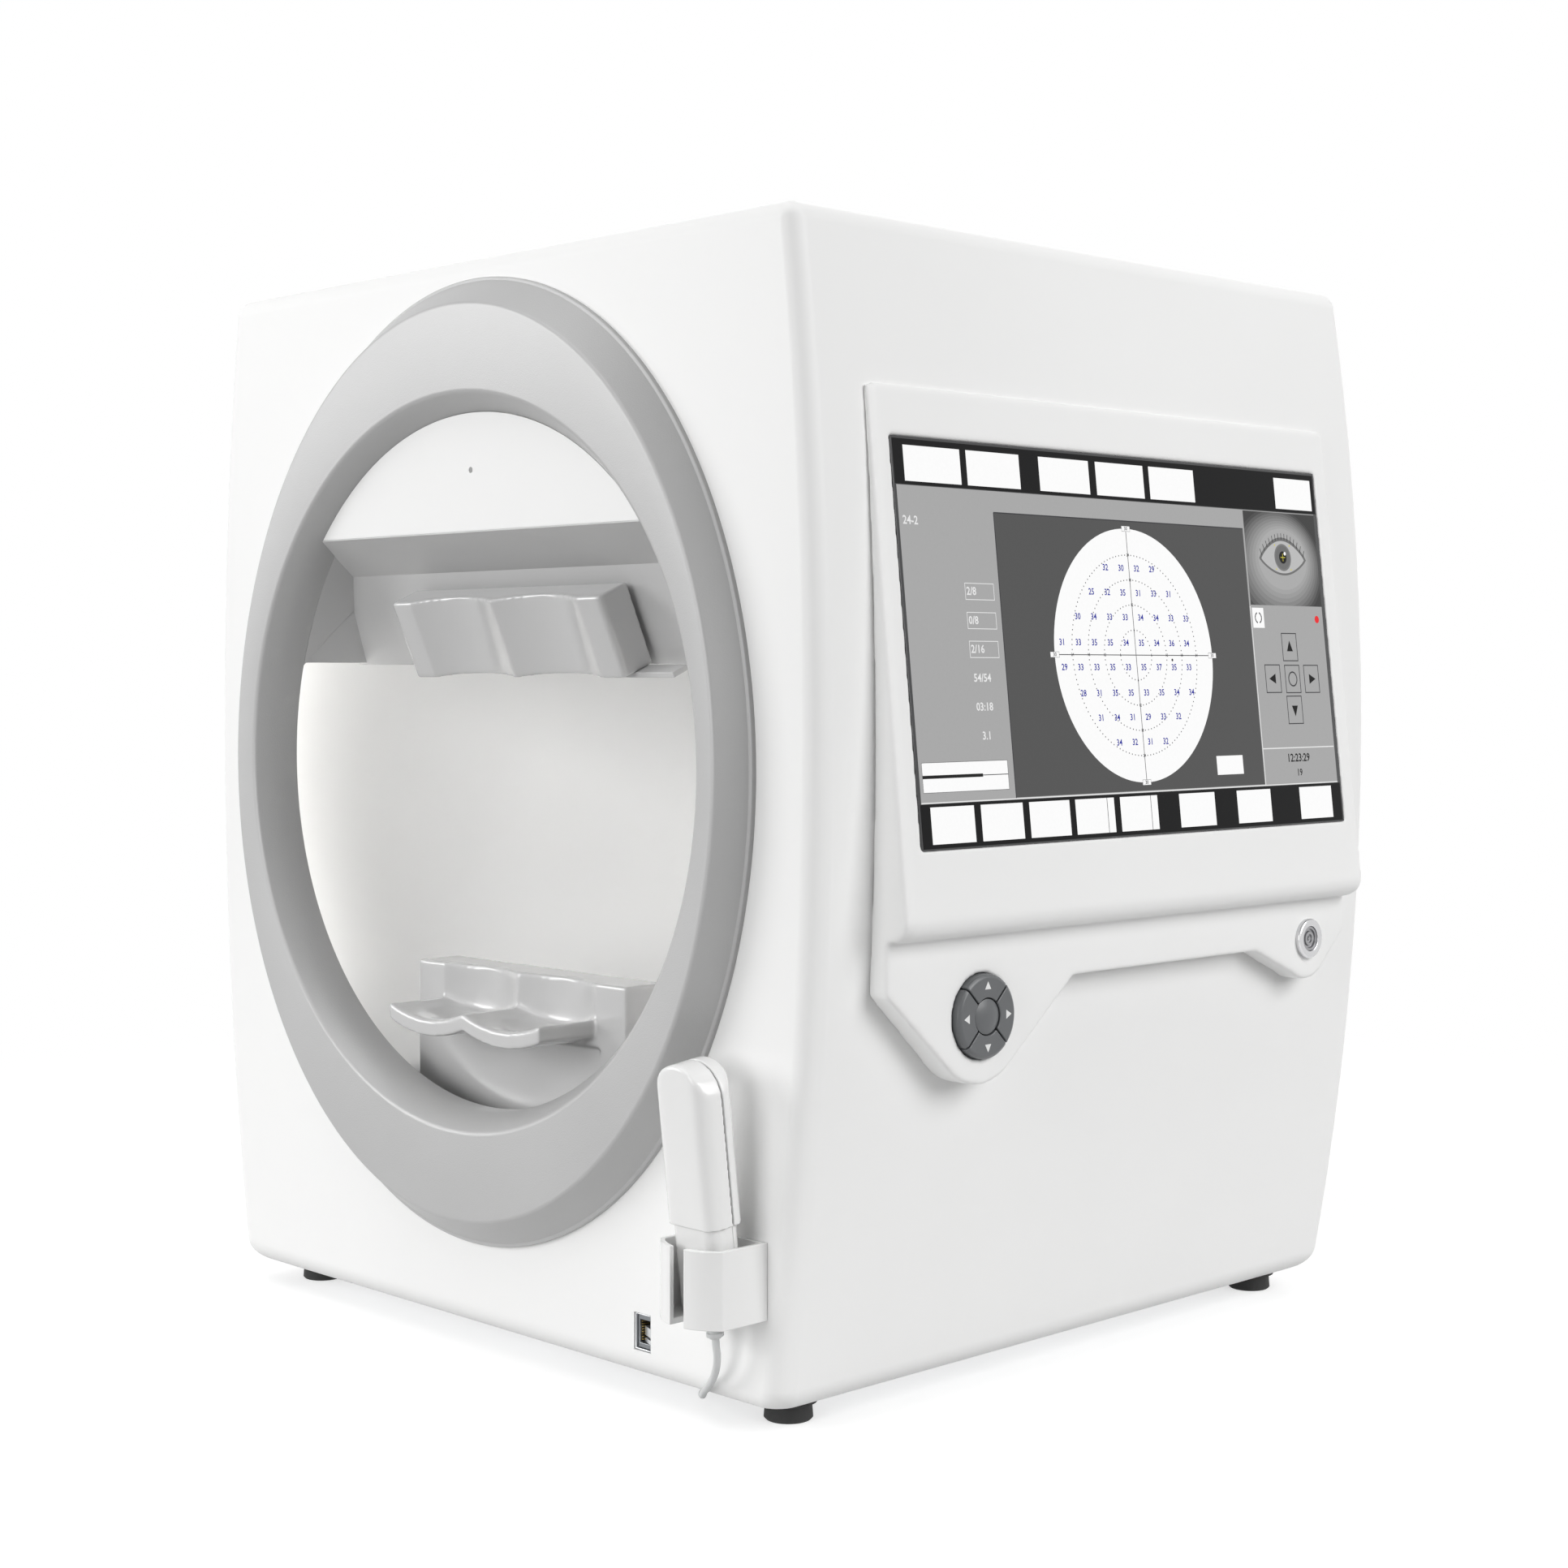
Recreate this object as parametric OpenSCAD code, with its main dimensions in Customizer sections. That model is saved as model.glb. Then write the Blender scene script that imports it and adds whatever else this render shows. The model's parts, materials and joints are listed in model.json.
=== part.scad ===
// Bowl perimeter: a table-top instrument that tests the visual field.
// Frame: x = 0 is the casing's middle plane, y = 0 its middle depth, z = 0 the table; the patient sits
// at -y.

/* [Casing] */
// Greatest width of the casing, across the bulge of its sides
body_w = 510; // [500:1:540]
// Depth from the flat front wall to the middle of the back
body_d = 448; // [440:1:470]
// Height of the casing above its feet
body_h = 566; // [550:1:600]
// Radius of the side walls' bulge
side_arc_r = 1850; // [1700:10:2400]
// Radius of the back wall's bulge
back_arc_r = 5400; // [4000:100:8000]
// Height of the bulge's widest point above the table
bulge_z = 327; // [310:1:350]
// Thickness of the casing's walls
wall_t = 5; // [4.5:0.5:6]
// Thickness of the back cover, which lies in a rebate of the wall
cover_t = 2.5; // [2:0.5:3]
// Radius of the upright edges
edge_r = 8; // [6:0.5:12]
// Radius of the edge round the top
top_r = 10; // [8:0.5:14]
// Radius of the edge round the bottom
bottom_r = 13; // [11:0.5:16]
// Thickness of the base plate
base_t = 3; // [2:0.5:4]
// Width of the cover in the back wall
rear_w = 380; // [370:1:400]
// Height of the cover in the back wall
rear_h = 430; // [420:1:440]
// Width of the ledge that the back cover is screwed to
rear_ledge = 14; // [12:1:18]

/* [Feet] */
// Height of the rubber feet
foot_h = 12.5; // [12.5:0.5:20]
// Diameter of the rubber feet at the table
foot_d = 24; // [20:1:30]
// Distance between the feet, left to right
foot_span_x = 396; // [360:1:398]
// Distance between the feet, front to back
foot_span_y = 374; // [350:1:380]

/* [Opening bezel] */
// Height of the opening's centre above the middle of the casing
opening_up = 16.5; // [12:0.5:20]
// Inner radius of the bezel's sleeve
opening_r = 183.5; // [180:0.5:186]
// Inner radius at the bezel's front lip
lip_r = 190; // [188:0.5:192]
// How much taller than wide the bezel's front lip is, on each side
lip_tall = 3; // [0:0.5:4]
// Half width of the oval where the bezel meets the front wall
oval_a = 214.5; // [212:0.5:220]
// Gap between the bezel's oval foot and the top of the casing
oval_gap = 12.5; // [8:0.5:16]
// How far the bezel stands in front of the wall
bezel_out = 18.5; // [17:0.5:22]
// Width of the bezel's sloping flank at the sides
flank_a = 10; // [8:0.5:12]
// Width of the bezel's sloping flank at the top and bottom
flank_b = 15; // [12:0.5:17]
// How far the bezel's sleeve reaches behind the front wall's face
sleeve_in = 5.5; // [5.5:0.5:10]

/* [Bowl] */
// Clear height between the bowl and the casing's roof
bowl_gap = 26.5; // [22:0.5:30]
// Clear width between the bowl and the casing's widest part
bowl_side_gap = 20; // [18:0.5:30]
// Wall thickness of the bowl
bowl_t = 3; // [2:0.5:4]

/* [Brow and forehead rest] */
// Height of the brow panel's lower edge above the opening's centre
brow_up = 121; // [117:1:124]
// How far the brow panel lies behind the bezel's front
brow_in = 14.5; // [13:0.5:17]
// Thickness of the brow panel and the beam's sheet
sheet_t = 3; // [2:0.5:4]
// Lean of the brow beam and the forehead pad, in degrees
brow_lean = 23.5; // [20:0.5:27]
// Depth of the sloping stripe under the brow panel
stripe_d = 31; // [28:1:34]
// Drop of the sloping stripe under the brow panel
stripe_h = 19.5; // [18:0.5:22]
// Height of the beam's leaning face
beam_h = 50.5; // [48:0.5:54]
// Width of the forehead pad
pad_w = 180; // [160:1:200]
// Height of the forehead pad along its lean
pad_h = 45; // [40:0.5:48]
// Thickness of the forehead pad at its ridges
pad_t = 20.6; // [18:0.1:24]
// Width of one hollow of the forehead pad
pad_hollow_w = 72; // [66:1:76]
// Depth of the pad's hollows
pad_hollow_d = 6; // [4:0.5:8]
// Travel of the forehead pad
pad_travel = 2.5; // [1.5:0.5:3]

/* [Chin rest] */
// Depth of the chin block's top below the opening's centre
chin_down = 114; // [109:1:117]
// Half width of the chin block
chin_half_w = 89; // [85:1:91]
// Depth of the chin block
chin_d = 28; // [24:1:32]
// Half width of the two chin cups together
cups_half_w = 65; // [60:1:70]
// How far the cups reach in front of the block
cups_out = 37; // [32:1:38]
// Depth of a cup's hollow
cup_dip = 6; // [4:0.5:8]
// Thickness of the cups
cup_t = 9; // [7:0.5:10]
// Travel of the chin rest to either side
chin_travel_x = 14; // [10:1:15]
// Travel of the chin rest upwards
chin_travel_up = 25; // [20:1:26]
// Travel of the chin rest downwards
chin_travel_down = 20; // [15:1:21]

/* [Screen side] */
// Width of the pod's frame beside the glass
pod_border = 13; // [10:0.5:17]
// Place of the pod's middle, front to back
pod_y = -1; // [-8:1:6]
// Height of the pod's frame above the glass
pod_over = 23.5; // [18:0.5:30]
// Height of the pod's frame below the glass
pod_under = 42; // [38:0.5:48]
// How far the pod stands out at its top edge
pod_top_out = 3; // [2.5:0.5:6]
// Lean of the screen, in degrees
screen_lean = 6.1; // [5:0.1:7]
// Width of the screen glass
glass_w = 346; // [340:1:350]
// Height of the screen glass
glass_h = 196; // [190:1:200]
// Height of the screen's middle
screen_z = 373; // [368:1:378]
// Thickness of the pod's skin
pod_t = 3; // [2.5:0.5:4]
// How far the control panel stands out from the widest part of the casing
panel_out = 9; // [8:0.5:12]
// Diameter of the ring of arrow keys
pad_key_d = 41; // [38:0.5:44]
// Diameter of the middle key
mid_key_d = 17; // [15:0.5:19]
// How far the keys stand proud of the panel
key_proud = 4; // [3:0.5:5]
// Travel of the keys
key_travel = 1; // [0.5:0.1:1.2]
// Diameter of the power button's ring
power_d = 22; // [20:0.5:24]
// Travel of the power button
power_travel = 2; // [1:0.5:2.5]

/* [Response handset] */
// Distance of the handset's middle from the casing's widest side
hand_inset = 54; // [51:1:61]
// Width of the handset
hand_w = 34; // [32:0.5:36]
// Depth of the handset
hand_d = 22; // [20:0.5:24]
// Length of the handset
hand_len = 118; // [114:1:124]
// Length of the neck under the handset's long button
neck_len = 41; // [39:1:44]
// Lean of the handset away from the wall, in degrees
hand_lean = 6.8; // [6:0.1:7.5]
// Travel of the handset's long button
button_travel = 0.6; // [0.5:0.1:1.5]
// Width of the holster
holster_w = 43; // [42:0.5:46]
// Depth of the holster at its round front
holster_d = 38; // [37:0.5:42]
// Height of the holster
holster_h = 36.5; // [34:0.5:40]
// Height of the holster's bottom above the table
holster_z = 57.5; // [55:0.5:62]
// Diameter of the handset's cord
cord_d = 3.6; // [3.4:0.1:3.7]

/* [Fits] */
// Gap round covers, keys and other pieces that lift out
fit_gap = 0.3; // [0.2:0.05:0.5]
// Radial running clearance of rods, shafts and screws
run_gap = 0.05; // [0.02:0.01:0.1]

/* [Hidden] */
$fn = 64;
eps = 0.01;
far = 400;

// Casing lines
front_y = -body_d / 2;
top_z = foot_h + body_h;
floor_z = foot_h + base_t;
opening_z = foot_h + body_h / 2 + opening_up;
oval_b = top_z - oval_gap - opening_z;
bowl_r = min(top_z - wall_t - bowl_gap - opening_z, body_w / 2 - bowl_side_gap) - bowl_t;
brow_z = opening_z + brow_up;
chin_z = opening_z - chin_down;
hand_x = body_w / 2 - hand_inset;
pod_w = glass_w + 2 * pod_border;
pod_top_z = screen_z + glass_h / 2 + pod_over;
pod_bottom_z = screen_z - glass_h / 2 - pod_under;
loft_levels = 9;
fillet_steps = 4;
corner_steps = 4;
function bulge_in(z, r) = r - sqrt(r * r - (z - bulge_z) * (z - bulge_z));
function half_w(z) = body_w / 2 - bulge_in(z, side_arc_r);
function back_y(z) = body_d / 2 - bulge_in(z, back_arc_r);

// One level of the casing: a rounded rectangle at height z, drawn in by inset on all sides
function level(z, inset, r) =
    let (w = half_w(z) - inset, yf = front_y + inset, yb = back_y(z) - inset)
    [for (c = [[w - r, yb - r, 0], [r - w, yb - r, 90], [r - w, yf + r, 180], [w - r, yf + r, 270]])
        for (i = [0:corner_steps])
            let (a = c[2] + 90 * i / corner_steps)
            [c[0] + r * cos(a), c[1] + r * sin(a), z]];

// Levels of the casing's skin at a given depth below its outer face, with the rounded top edge
function upper_levels(depth, z0) =
    let (zt = top_z - top_r, r = top_r - min(depth, top_r - 2), re = max(edge_r - depth, 3))
    concat([for (i = [0:loft_levels]) level(z0 + (zt - z0) * i / loft_levels, depth, re)],
        [for (i = [1:fillet_steps])
            let (a = 90 * i / fillet_steps)
            level(zt + (top_r - depth) * sin(a), depth + r * (1 - cos(a)),
                re - (re - 1) * i / fillet_steps)]);

// The rounded bottom edge, from the table side upwards
function lower_levels() =
    [for (i = [0:fillet_steps - 1])
        let (a = 90 - 90 * i / fillet_steps)
        level(foot_h + bottom_r * (1 - sin(a)), bottom_r * (1 - cos(a)), edge_r)];

// Closed solid through a list of rings with equally many points
module loft(rings) {
    n = len(rings[0]);
    m = len(rings);
    points = [for (ring = rings) each ring];
    sides = [for (j = [0:m - 2]) for (i = [0:n - 1])
        let (a = j * n + i, b = j * n + (i + 1) % n)
        each [[a, a + n, b], [b, a + n, b + n]]];
    caps = [[for (i = [0:n - 1]) i], [for (i = [n - 1:-1:0]) (m - 1) * n + i]];
    polyhedron(points, concat(sides, caps));
}

module casing_solid() loft(concat(lower_levels(), upper_levels(0, foot_h + bottom_r)));

// Hollow of the casing at a depth below the skin; its mouth is open downwards
module casing_hollow(depth) {
    mouth = bottom_r;
    r = bottom_r - depth;
    arc = [for (i = [0:fillet_steps - 1])
        let (a = 90 - 90 * i / fillet_steps)
        level(foot_h + bottom_r - r * sin(a), mouth - r * cos(a), max(edge_r - depth, 3))];
    loft(concat([level(foot_h - 1, mouth, max(edge_r - depth, 3))], arc,
        upper_levels(depth, foot_h + bottom_r)));
}

// Bar of a rounded rectangle in the x-z plane, running along y
module slab_xz(w, h, r, y0, y1, x, z) {
    translate([x, y1, z]) rotate([90, 0, 0]) linear_extrude(y1 - y0) {
        square([w - 2 * r, h], center = true);
        square([w, h - 2 * r], center = true);
        for (i = [-1, 1]) for (j = [-1, 1])
            translate([i * (w / 2 - r), j * (h / 2 - r)]) circle(r);
    }
}
module rod_y(r, y0, y1, x, z) translate([x, y1, z]) rotate([90, 0, 0]) cylinder(r = r, h = y1 - y0);
module rod_x(r, x0, x1, y, z) translate([x0, y, z]) rotate([0, 90, 0]) cylinder(r = r, h = x1 - x0);
module rod_z(r, z0, z1, x, y) translate([x, y, z0]) cylinder(r = r, h = z1 - z0);
module box(lo, hi) translate(lo) cube(hi - lo);

// Back cover and its screws
rear_z = foot_h + body_h / 2 - 6;
rear_corner_r = 10;
screw_r = 2;
screw_head_r = 3.6;
screw_head_h = 2.4;
screw_len = 9;
screw_socket_r = 1.6;
rear_screw_x = rear_w / 2 - rear_ledge / 2;
rear_screw_z = [rear_z - rear_h / 2 + rear_ledge / 2, rear_z, rear_z + rear_h / 2 - rear_ledge / 2];
module at_rear_screws() {
    for (s = [-1, 1]) for (z = rear_screw_z) translate([s * rear_screw_x, back_y(z), z]) children();
}
base_boss_r = 6;
base_boss_x = half_w(foot_h) - 30;
base_boss_y = foot_span_y / 2 - 34;
base_boss_h = 26;
module at_base_screws() {
    for (i = [-1, 1]) for (j = [-1, 1]) translate([i * base_boss_x, j * base_boss_y, foot_h]) children();
}

// Front wall hole for the bezel's sleeve
sleeve_t = 9;
hole_r = opening_r + sleeve_t + 1;

// Screen frame: local x points out of the glass, local z up along it
wall_x = body_w / 2;
pod_face_x = half_w(pod_top_z) + pod_top_out;
function face_x(z) = pod_face_x + (pod_top_z - z) * tan(screen_lean);
module on_screen() translate([face_x(screen_z), pod_y, screen_z]) rotate([0, -screen_lean, 0]) children();
glass_t = 3;
lcd_t = 8;
lcd_margin = 3;
screen_ledge = 4;
window_gap = 4;
module on_side(x) translate([x, 0, 0]) rotate([90, 0, 90]) children();
function pod_inner_w() = pod_w - 2 * pod_t;

// Control panel
panel_x = wall_x + panel_out;
dpad_y = pod_y - pod_w / 2 + 65.5;
dpad_z = pod_bottom_z - 39.5;
dpad_lobe_r = 33;
power_y = pod_y + pod_w / 2 - 35.5;
power_z = pod_bottom_z - 22;
power_lobe_r = 22.5;
band_z = pod_bottom_z - 25.5;
pad_key_r = pad_key_d / 2;
mid_key_r = mid_key_d / 2;
key_gap = 0.6;
key_skirt = 2;
key_skirt_t = 2;
panel_skin = 4;
pocket_r = pad_key_r + key_skirt + 4;
board_t = 1.6;
board_x = panel_x - panel_skin - key_skirt_t - key_travel - 4.6;
switch_h = 2.4;
power_body_r = power_d / 2 - 3;
power_ring_t = 3;
power_cap_r = power_body_r - 1.2;
power_body_len = 26;

module main_shell() color("WhiteSmoke") {
    difference() {
        casing_solid();
        casing_hollow(wall_t);
        rod_y(hole_r, front_y - 1, front_y + wall_t + 1, 0, opening_z);
        difference() {
            slab_xz(rear_w, rear_h, rear_corner_r, 0, far, 0, rear_z);
            casing_hollow(cover_t + fit_gap);
        }
        slab_xz(rear_w - 2 * rear_ledge, rear_h - 2 * rear_ledge, rear_corner_r, 0, far, 0, rear_z);
        at_rear_screws() rod_y(screw_r + run_gap, -2 * wall_t, 1, 0, 0);
        box([half_w(top_z) - 3 * wall_t, pod_y - glass_w / 2 - lcd_margin - window_gap,
            screen_z - glass_h / 2 - 12],
            [far, pod_y + glass_w / 2 + lcd_margin + window_gap, screen_z + glass_h / 2 + 9]);
        rod_x(power_body_r + 1, half_w(top_z) - 3 * wall_t, far, power_y, power_z);
        box([jack_x - jack_w / 2 - fit_gap, front_y - 1, jack_z - jack_h / 2 - fit_gap],
            [jack_x + jack_w / 2 + fit_gap, front_y + wall_t + bottom_r, jack_z + jack_h / 2 + fit_gap]);
    }
    difference() {
        for (i = [-1, 1]) for (j = [-1, 1]) {
            rod_z(base_boss_r, floor_z, floor_z + base_boss_h, i * base_boss_x, j * base_boss_y);
            rib_end = half_w(floor_z + base_boss_h) - wall_t * 0.75;
            box([min(i * base_boss_x, i * rib_end), j * base_boss_y - 1.5, foot_h + bottom_r],
                [max(i * base_boss_x, i * rib_end), j * base_boss_y + 1.5, floor_z + base_boss_h]);
        }
        at_base_screws() rod_z(screw_r + run_gap, -1, screw_len + 2, 0, 0);
    }
}

// Connector recess in the back cover, with the inlet and the ports
recess_w = 210;
recess_h = 84;
recess_x = 55;
recess_z = rear_z - rear_h / 2 + rear_ledge + 1 + sheet_t + recess_h / 2;
recess_depth = 8;
recess_floor_y = back_y(recess_z) - recess_depth;
inlet_x = recess_x + 68;
inlet_w = 28;
inlet_h = 22;
inlet_z = recess_z - 16;
rocker_w = 20;
rocker_h = 13;
rocker_z = recess_z + 22;
ports_x = recess_x - 48;
ports_w = 80;
ports_h = 16;
ports_z = recess_z - 10;
fan_x = -95;
fan_z = rear_z + 106;
fan_w = 80;
fan_d = 25;
vent_slots = 11;
vent_pitch = 6;
vent_slot_w = 3;
module rear_cover() color("WhiteSmoke") difference() {
    union() {
        intersection() {
            difference() {
                casing_solid();
                casing_hollow(cover_t);
            }
            slab_xz(rear_w - 2 * fit_gap, rear_h - 2 * fit_gap, rear_corner_r, 0, far, 0, rear_z);
        }
        slab_xz(recess_w + 2 * sheet_t, recess_h + 2 * sheet_t, 3, recess_floor_y - sheet_t,
            back_y(recess_z - recess_h / 2) - 2, recess_x, recess_z);
        slab_xz(fan_w, fan_w, 3, fan_front_y, back_y(fan_z) - 1, fan_x, fan_z);
    }
    slab_xz(recess_w, recess_h, 3, recess_floor_y, far, recess_x, recess_z);
    slab_xz(inlet_w + 2 * fit_gap, inlet_h + 2 * fit_gap, 2, 0, far, inlet_x, inlet_z);
    slab_xz(rocker_w + 2 * fit_gap, rocker_h + 2 * fit_gap, 1, 0, far, inlet_x, rocker_z);
    slab_xz(ports_w + 2 * fit_gap, ports_h + 2 * fit_gap, 1, 0, far, ports_x, ports_z);
    for (i = [0:vent_slots - 1])
        let (z = fan_z + (i - (vent_slots - 1) / 2) * vent_pitch)
        let (half = sqrt(pow(fan_w / 2 - 3, 2) - pow(z - fan_z, 2)))
        slab_xz(2 * half, vent_slot_w, 1, 0, far, fan_x, z);
    at_rear_screws() {
        rod_y(screw_r + 2 * fit_gap, -2 * wall_t, 1, 0, 0);
    }
}
fan_front_y = back_y(fan_z) - cover_t - 3;

module base_plate() color("Silver") {
    inset = bottom_r + fit_gap;
    difference() {
        loft([level(foot_h, inset, edge_r), level(floor_z, inset, edge_r)]);
        at_base_screws() rod_z(screw_r + 2 * fit_gap, -1, far, 0, 0);
    }
    for (x = [board_x0 + 8, board_x0 + board_w - 8]) for (y = [board_y0 + 8, board_y1 - 20])
        rod_z(3.2, floor_z, board_z, x, y);
}

foot_step = 5;
module rubber_feet() color("#202020") {
    for (i = [-1, 1]) for (j = [-1, 1])
        translate([i * foot_span_x / 2, j * foot_span_y / 2, 0]) rotate_extrude()
            polygon([[0, 0], [foot_d / 2 - 1, 0], [foot_d / 2, 1], [foot_d / 2 - 0.5, foot_h - foot_step],
                [foot_d / 2 + 2, foot_h - foot_step + 1], [foot_d / 2 + 2, foot_h], [0, foot_h]]);
}

module cap_screw(axis_turn) rotate(axis_turn) difference() {
    union() {
        cylinder(r = screw_head_r, h = screw_head_h);
        translate([0, 0, -screw_len]) cylinder(r = screw_r, h = screw_len);
    }
    translate([0, 0, screw_head_h - 1.4]) cylinder(r = screw_socket_r, h = 2, $fn = 6);
}
screw_seat = 0.6;
module housing_screws() color("Silver") {
    at_rear_screws() translate([0, screw_seat, 0]) cap_screw([-90, 0, 0]);
    at_base_screws() translate([0, 0, -eps]) cap_screw([180, 0, 0]);
}

// Bezel: a ring swept round the opening, oval outside and round inside
ring_steps = 72;
crest_y = front_y - bezel_out;
sleeve_y = front_y + sleeve_in;
bezel_foot = 2.5;
bezel_round = 2.5;
lip_round = 3;
crest_a = oval_a - flank_a;
crest_b = oval_b - flank_b;
lip_back = 2.5;
sleeve_lip = 0.7;
lip_b = lip_r + lip_tall;
bezel_profile = [[oval_a, oval_b, front_y], [oval_a, oval_b, front_y - bezel_foot],
    [oval_a - 1.5, oval_b - 1.5, front_y - bezel_foot - 0.5],
    [crest_a, crest_b, crest_y + bezel_round],
    [crest_a - 0.7, crest_b - 0.9, crest_y + 0.3 * bezel_round],
    [crest_a - bezel_round, crest_b - bezel_round, crest_y],
    [lip_r + lip_round, lip_b + lip_round, crest_y + lip_back],
    [lip_r + 0.3 * lip_round, lip_b + 0.3 * lip_round, crest_y + lip_back + 0.2 * lip_round],
    [lip_r - 0.3 * lip_round, lip_b - 0.3 * lip_round, crest_y + lip_back + lip_round],
    [opening_r, opening_r, crest_y + brow_in],
    [opening_r, opening_r, sleeve_y + bowl_t],
    [opening_r + sleeve_lip, opening_r + sleeve_lip, sleeve_y + bowl_t],
    [opening_r + sleeve_lip, opening_r + sleeve_lip, sleeve_y],
    [opening_r + sleeve_t, opening_r + sleeve_t, sleeve_y],
    [opening_r + sleeve_t, opening_r + sleeve_t, front_y]];
module opening_bezel() color("#b4b6b6") {
    n = len(bezel_profile);
    points = [for (k = [0:ring_steps - 1]) for (p = bezel_profile)
        let (a = 360 * k / ring_steps) [p[0] * cos(a), p[2], opening_z + p[1] * sin(a)]];
    faces = [for (k = [0:ring_steps - 1]) for (i = [0:n - 1])
        let (k2 = (k + 1) % ring_steps, i2 = (i + 1) % n)
        let (a = k * n + i, b = k * n + i2, c = k2 * n + i, d = k2 * n + i2)
        each [[a, b, c], [b, d, c]]];
    polyhedron(points, faces);
}

// Bowl: a half sphere with a flat rim that closes against the bezel's sleeve
bowl_y = sleeve_y + bowl_t;
bowl_out_r = bowl_r + bowl_t;
mouth_r = opening_r + 1;
notch_half_w = chin_half_w + 39;
notch_z = floor_z + 123.5;
notch_y = bowl_y + 75.5;
eye_hole_r = 6;
module bowl() color("White") difference() {
    union() {
        difference() {
            translate([0, bowl_y, opening_z]) sphere(r = bowl_out_r);
            translate([0, bowl_y, opening_z]) sphere(r = bowl_r);
            box([-far, -2 * far, -far], [far, bowl_y - bowl_t / 2, 2 * far]);
        }
        rod_y(bowl_out_r, sleeve_y, bowl_y, 0, opening_z);
    }
    rod_y(mouth_r, sleeve_y - 1, bowl_y + 1, 0, opening_z);
    box([-notch_half_w, sleeve_y - 1, 0], [notch_half_w, notch_y, notch_z]);
    rod_y(eye_hole_r, bowl_y, far, 0, opening_z);
}
light_ring_w = 8;
ring_end_up = 40;
light_ring_r = (mouth_r + bowl_r - light_ring_w) / 2;
module bowl_light_ring() color("LemonChiffon") difference() {
    rod_y(light_ring_r + light_ring_w, bowl_y, bowl_y + 2, 0, opening_z);
    rod_y(light_ring_r, bowl_y - 1, bowl_y + 3, 0, opening_z);
    box([-far, bowl_y - 1, 0], [far, bowl_y + 3, notch_z + ring_end_up]);
}

// Brow panel and beam, trimmed to the sleeve's bore
brow_y = crest_y + brow_in;
beam_top_y = brow_y + stripe_d;
beam_top_z = brow_z - stripe_h;
beam_low_y = beam_top_y + beam_h * tan(brow_lean);
beam_low_z = beam_top_z - beam_h;
beam_return = 34;
beam_flange_h = 36;
brow_fit_r = opening_r - fit_gap;
sensor_z = brow_z + 32;
module brow_panel() color("White") difference() {
    intersection() {
        rod_y(brow_fit_r, brow_y, brow_y + sheet_t, 0, opening_z);
        box([-far, -far, brow_z], [far, far, 2 * far]);
    }
    rod_y(1.6, brow_y - 1, brow_y + sheet_t + 1, 0, sensor_z);
}
beam_profile = [[brow_y + sheet_t, brow_z + beam_flange_h], [brow_y + sheet_t, brow_z], [brow_y, brow_z],
    [brow_y, brow_z - 0.8], [beam_top_y, beam_top_z], [beam_low_y, beam_low_z],
    [beam_low_y + beam_return, beam_low_z], [beam_low_y + beam_return, beam_low_z + sheet_t],
    [beam_low_y + sheet_t * 0.8, beam_low_z + sheet_t],
        [beam_top_y + sheet_t, beam_top_z + sheet_t * 0.5],
    [brow_y + 2 * sheet_t, brow_z - 0.8], [brow_y + 2 * sheet_t, brow_z + beam_flange_h]];
module on_beam() translate([0, beam_top_y, beam_top_z]) rotate([brow_lean, 0, 0]) children();
guide_r = 3;
guide_x = 55;
pad_drop = 8;
pad_gap = 3.4;
switch_x = 22;
// The beam's ends behind the sleeve: a tongue that carries the sleeve's curve on, and a flat cheek
tongue_r = brow_fit_r + 2.5;
tongue_y = sleeve_y + bowl_t + fit_gap;
cheek_h = 33;
cheek_r = brow_fit_r + 1.3;
cheek_z0 = beam_low_z + 1;
cheek_z1 = beam_low_z + cheek_h;
cheek_w = 6.5;
beam_lean = (beam_top_y - beam_low_y) / (beam_top_z - beam_low_z);
function beam_face_y(z) = beam_low_y + (z - beam_low_z) * beam_lean;
function cheek_x(z) = sqrt(pow(cheek_r, 2) - pow(z - opening_z, 2));
soffit_slope = (beam_top_z - brow_z + 0.8) / (beam_top_y - brow_y);
tongue_y0 = tongue_y - 1;
tongue_slope = cheek_h / (beam_face_y(cheek_z1) - tongue_y);
tongue_profile = [[tongue_y0, brow_z + soffit_slope * (tongue_y0 - brow_y)],
    [tongue_y0, cheek_z0 - 1.5 - tongue_slope],
    [beam_face_y(cheek_z1) + 1, cheek_z1 - 1.5 + tongue_slope], [beam_top_y + 1.5, beam_top_z]];
module brow_cheek() {
    front = [[cheek_x(cheek_z1), beam_face_y(cheek_z1) + 0.5, cheek_z1],
        [cheek_x(cheek_z0), tongue_y + 0.5, cheek_z0],
        [cheek_x(cheek_z0) - cheek_w, beam_low_y, cheek_z0]];
    back = [for (p = front) p + [0.6, 1.8, 0.2]];
    polyhedron(concat(front, back), [[0, 1, 2], [5, 4, 3], [0, 3, 4, 1], [1, 4, 5, 2], [2, 5, 3, 0]]);
}
module beam_bar() rotate([90, 0, 90]) linear_extrude(2 * far, center = true) polygon(beam_profile);
module brow_beam() color("#b4b6b6") difference() {
    union() {
        intersection() {
            beam_bar();
            union() {
                rod_y(brow_fit_r, -far, far, 0, opening_z);
                rod_y(tongue_r, tongue_y, far, 0, opening_z);
            }
        }
        intersection() {
            rotate([90, 0, 90]) linear_extrude(2 * far, center = true) polygon(tongue_profile);
            difference() {
                rod_y(tongue_r, tongue_y, far, 0, opening_z);
                rod_y(opening_r, -far, far, 0, opening_z);
            }
        }
        for (i = [0, 1]) mirror([i, 0, 0]) brow_cheek();
    }
    for (s = [-1, 1]) on_beam() rod_y(guide_r + run_gap, -10, 14, s * guide_x, -pad_drop - pad_h / 2);
}

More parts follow.
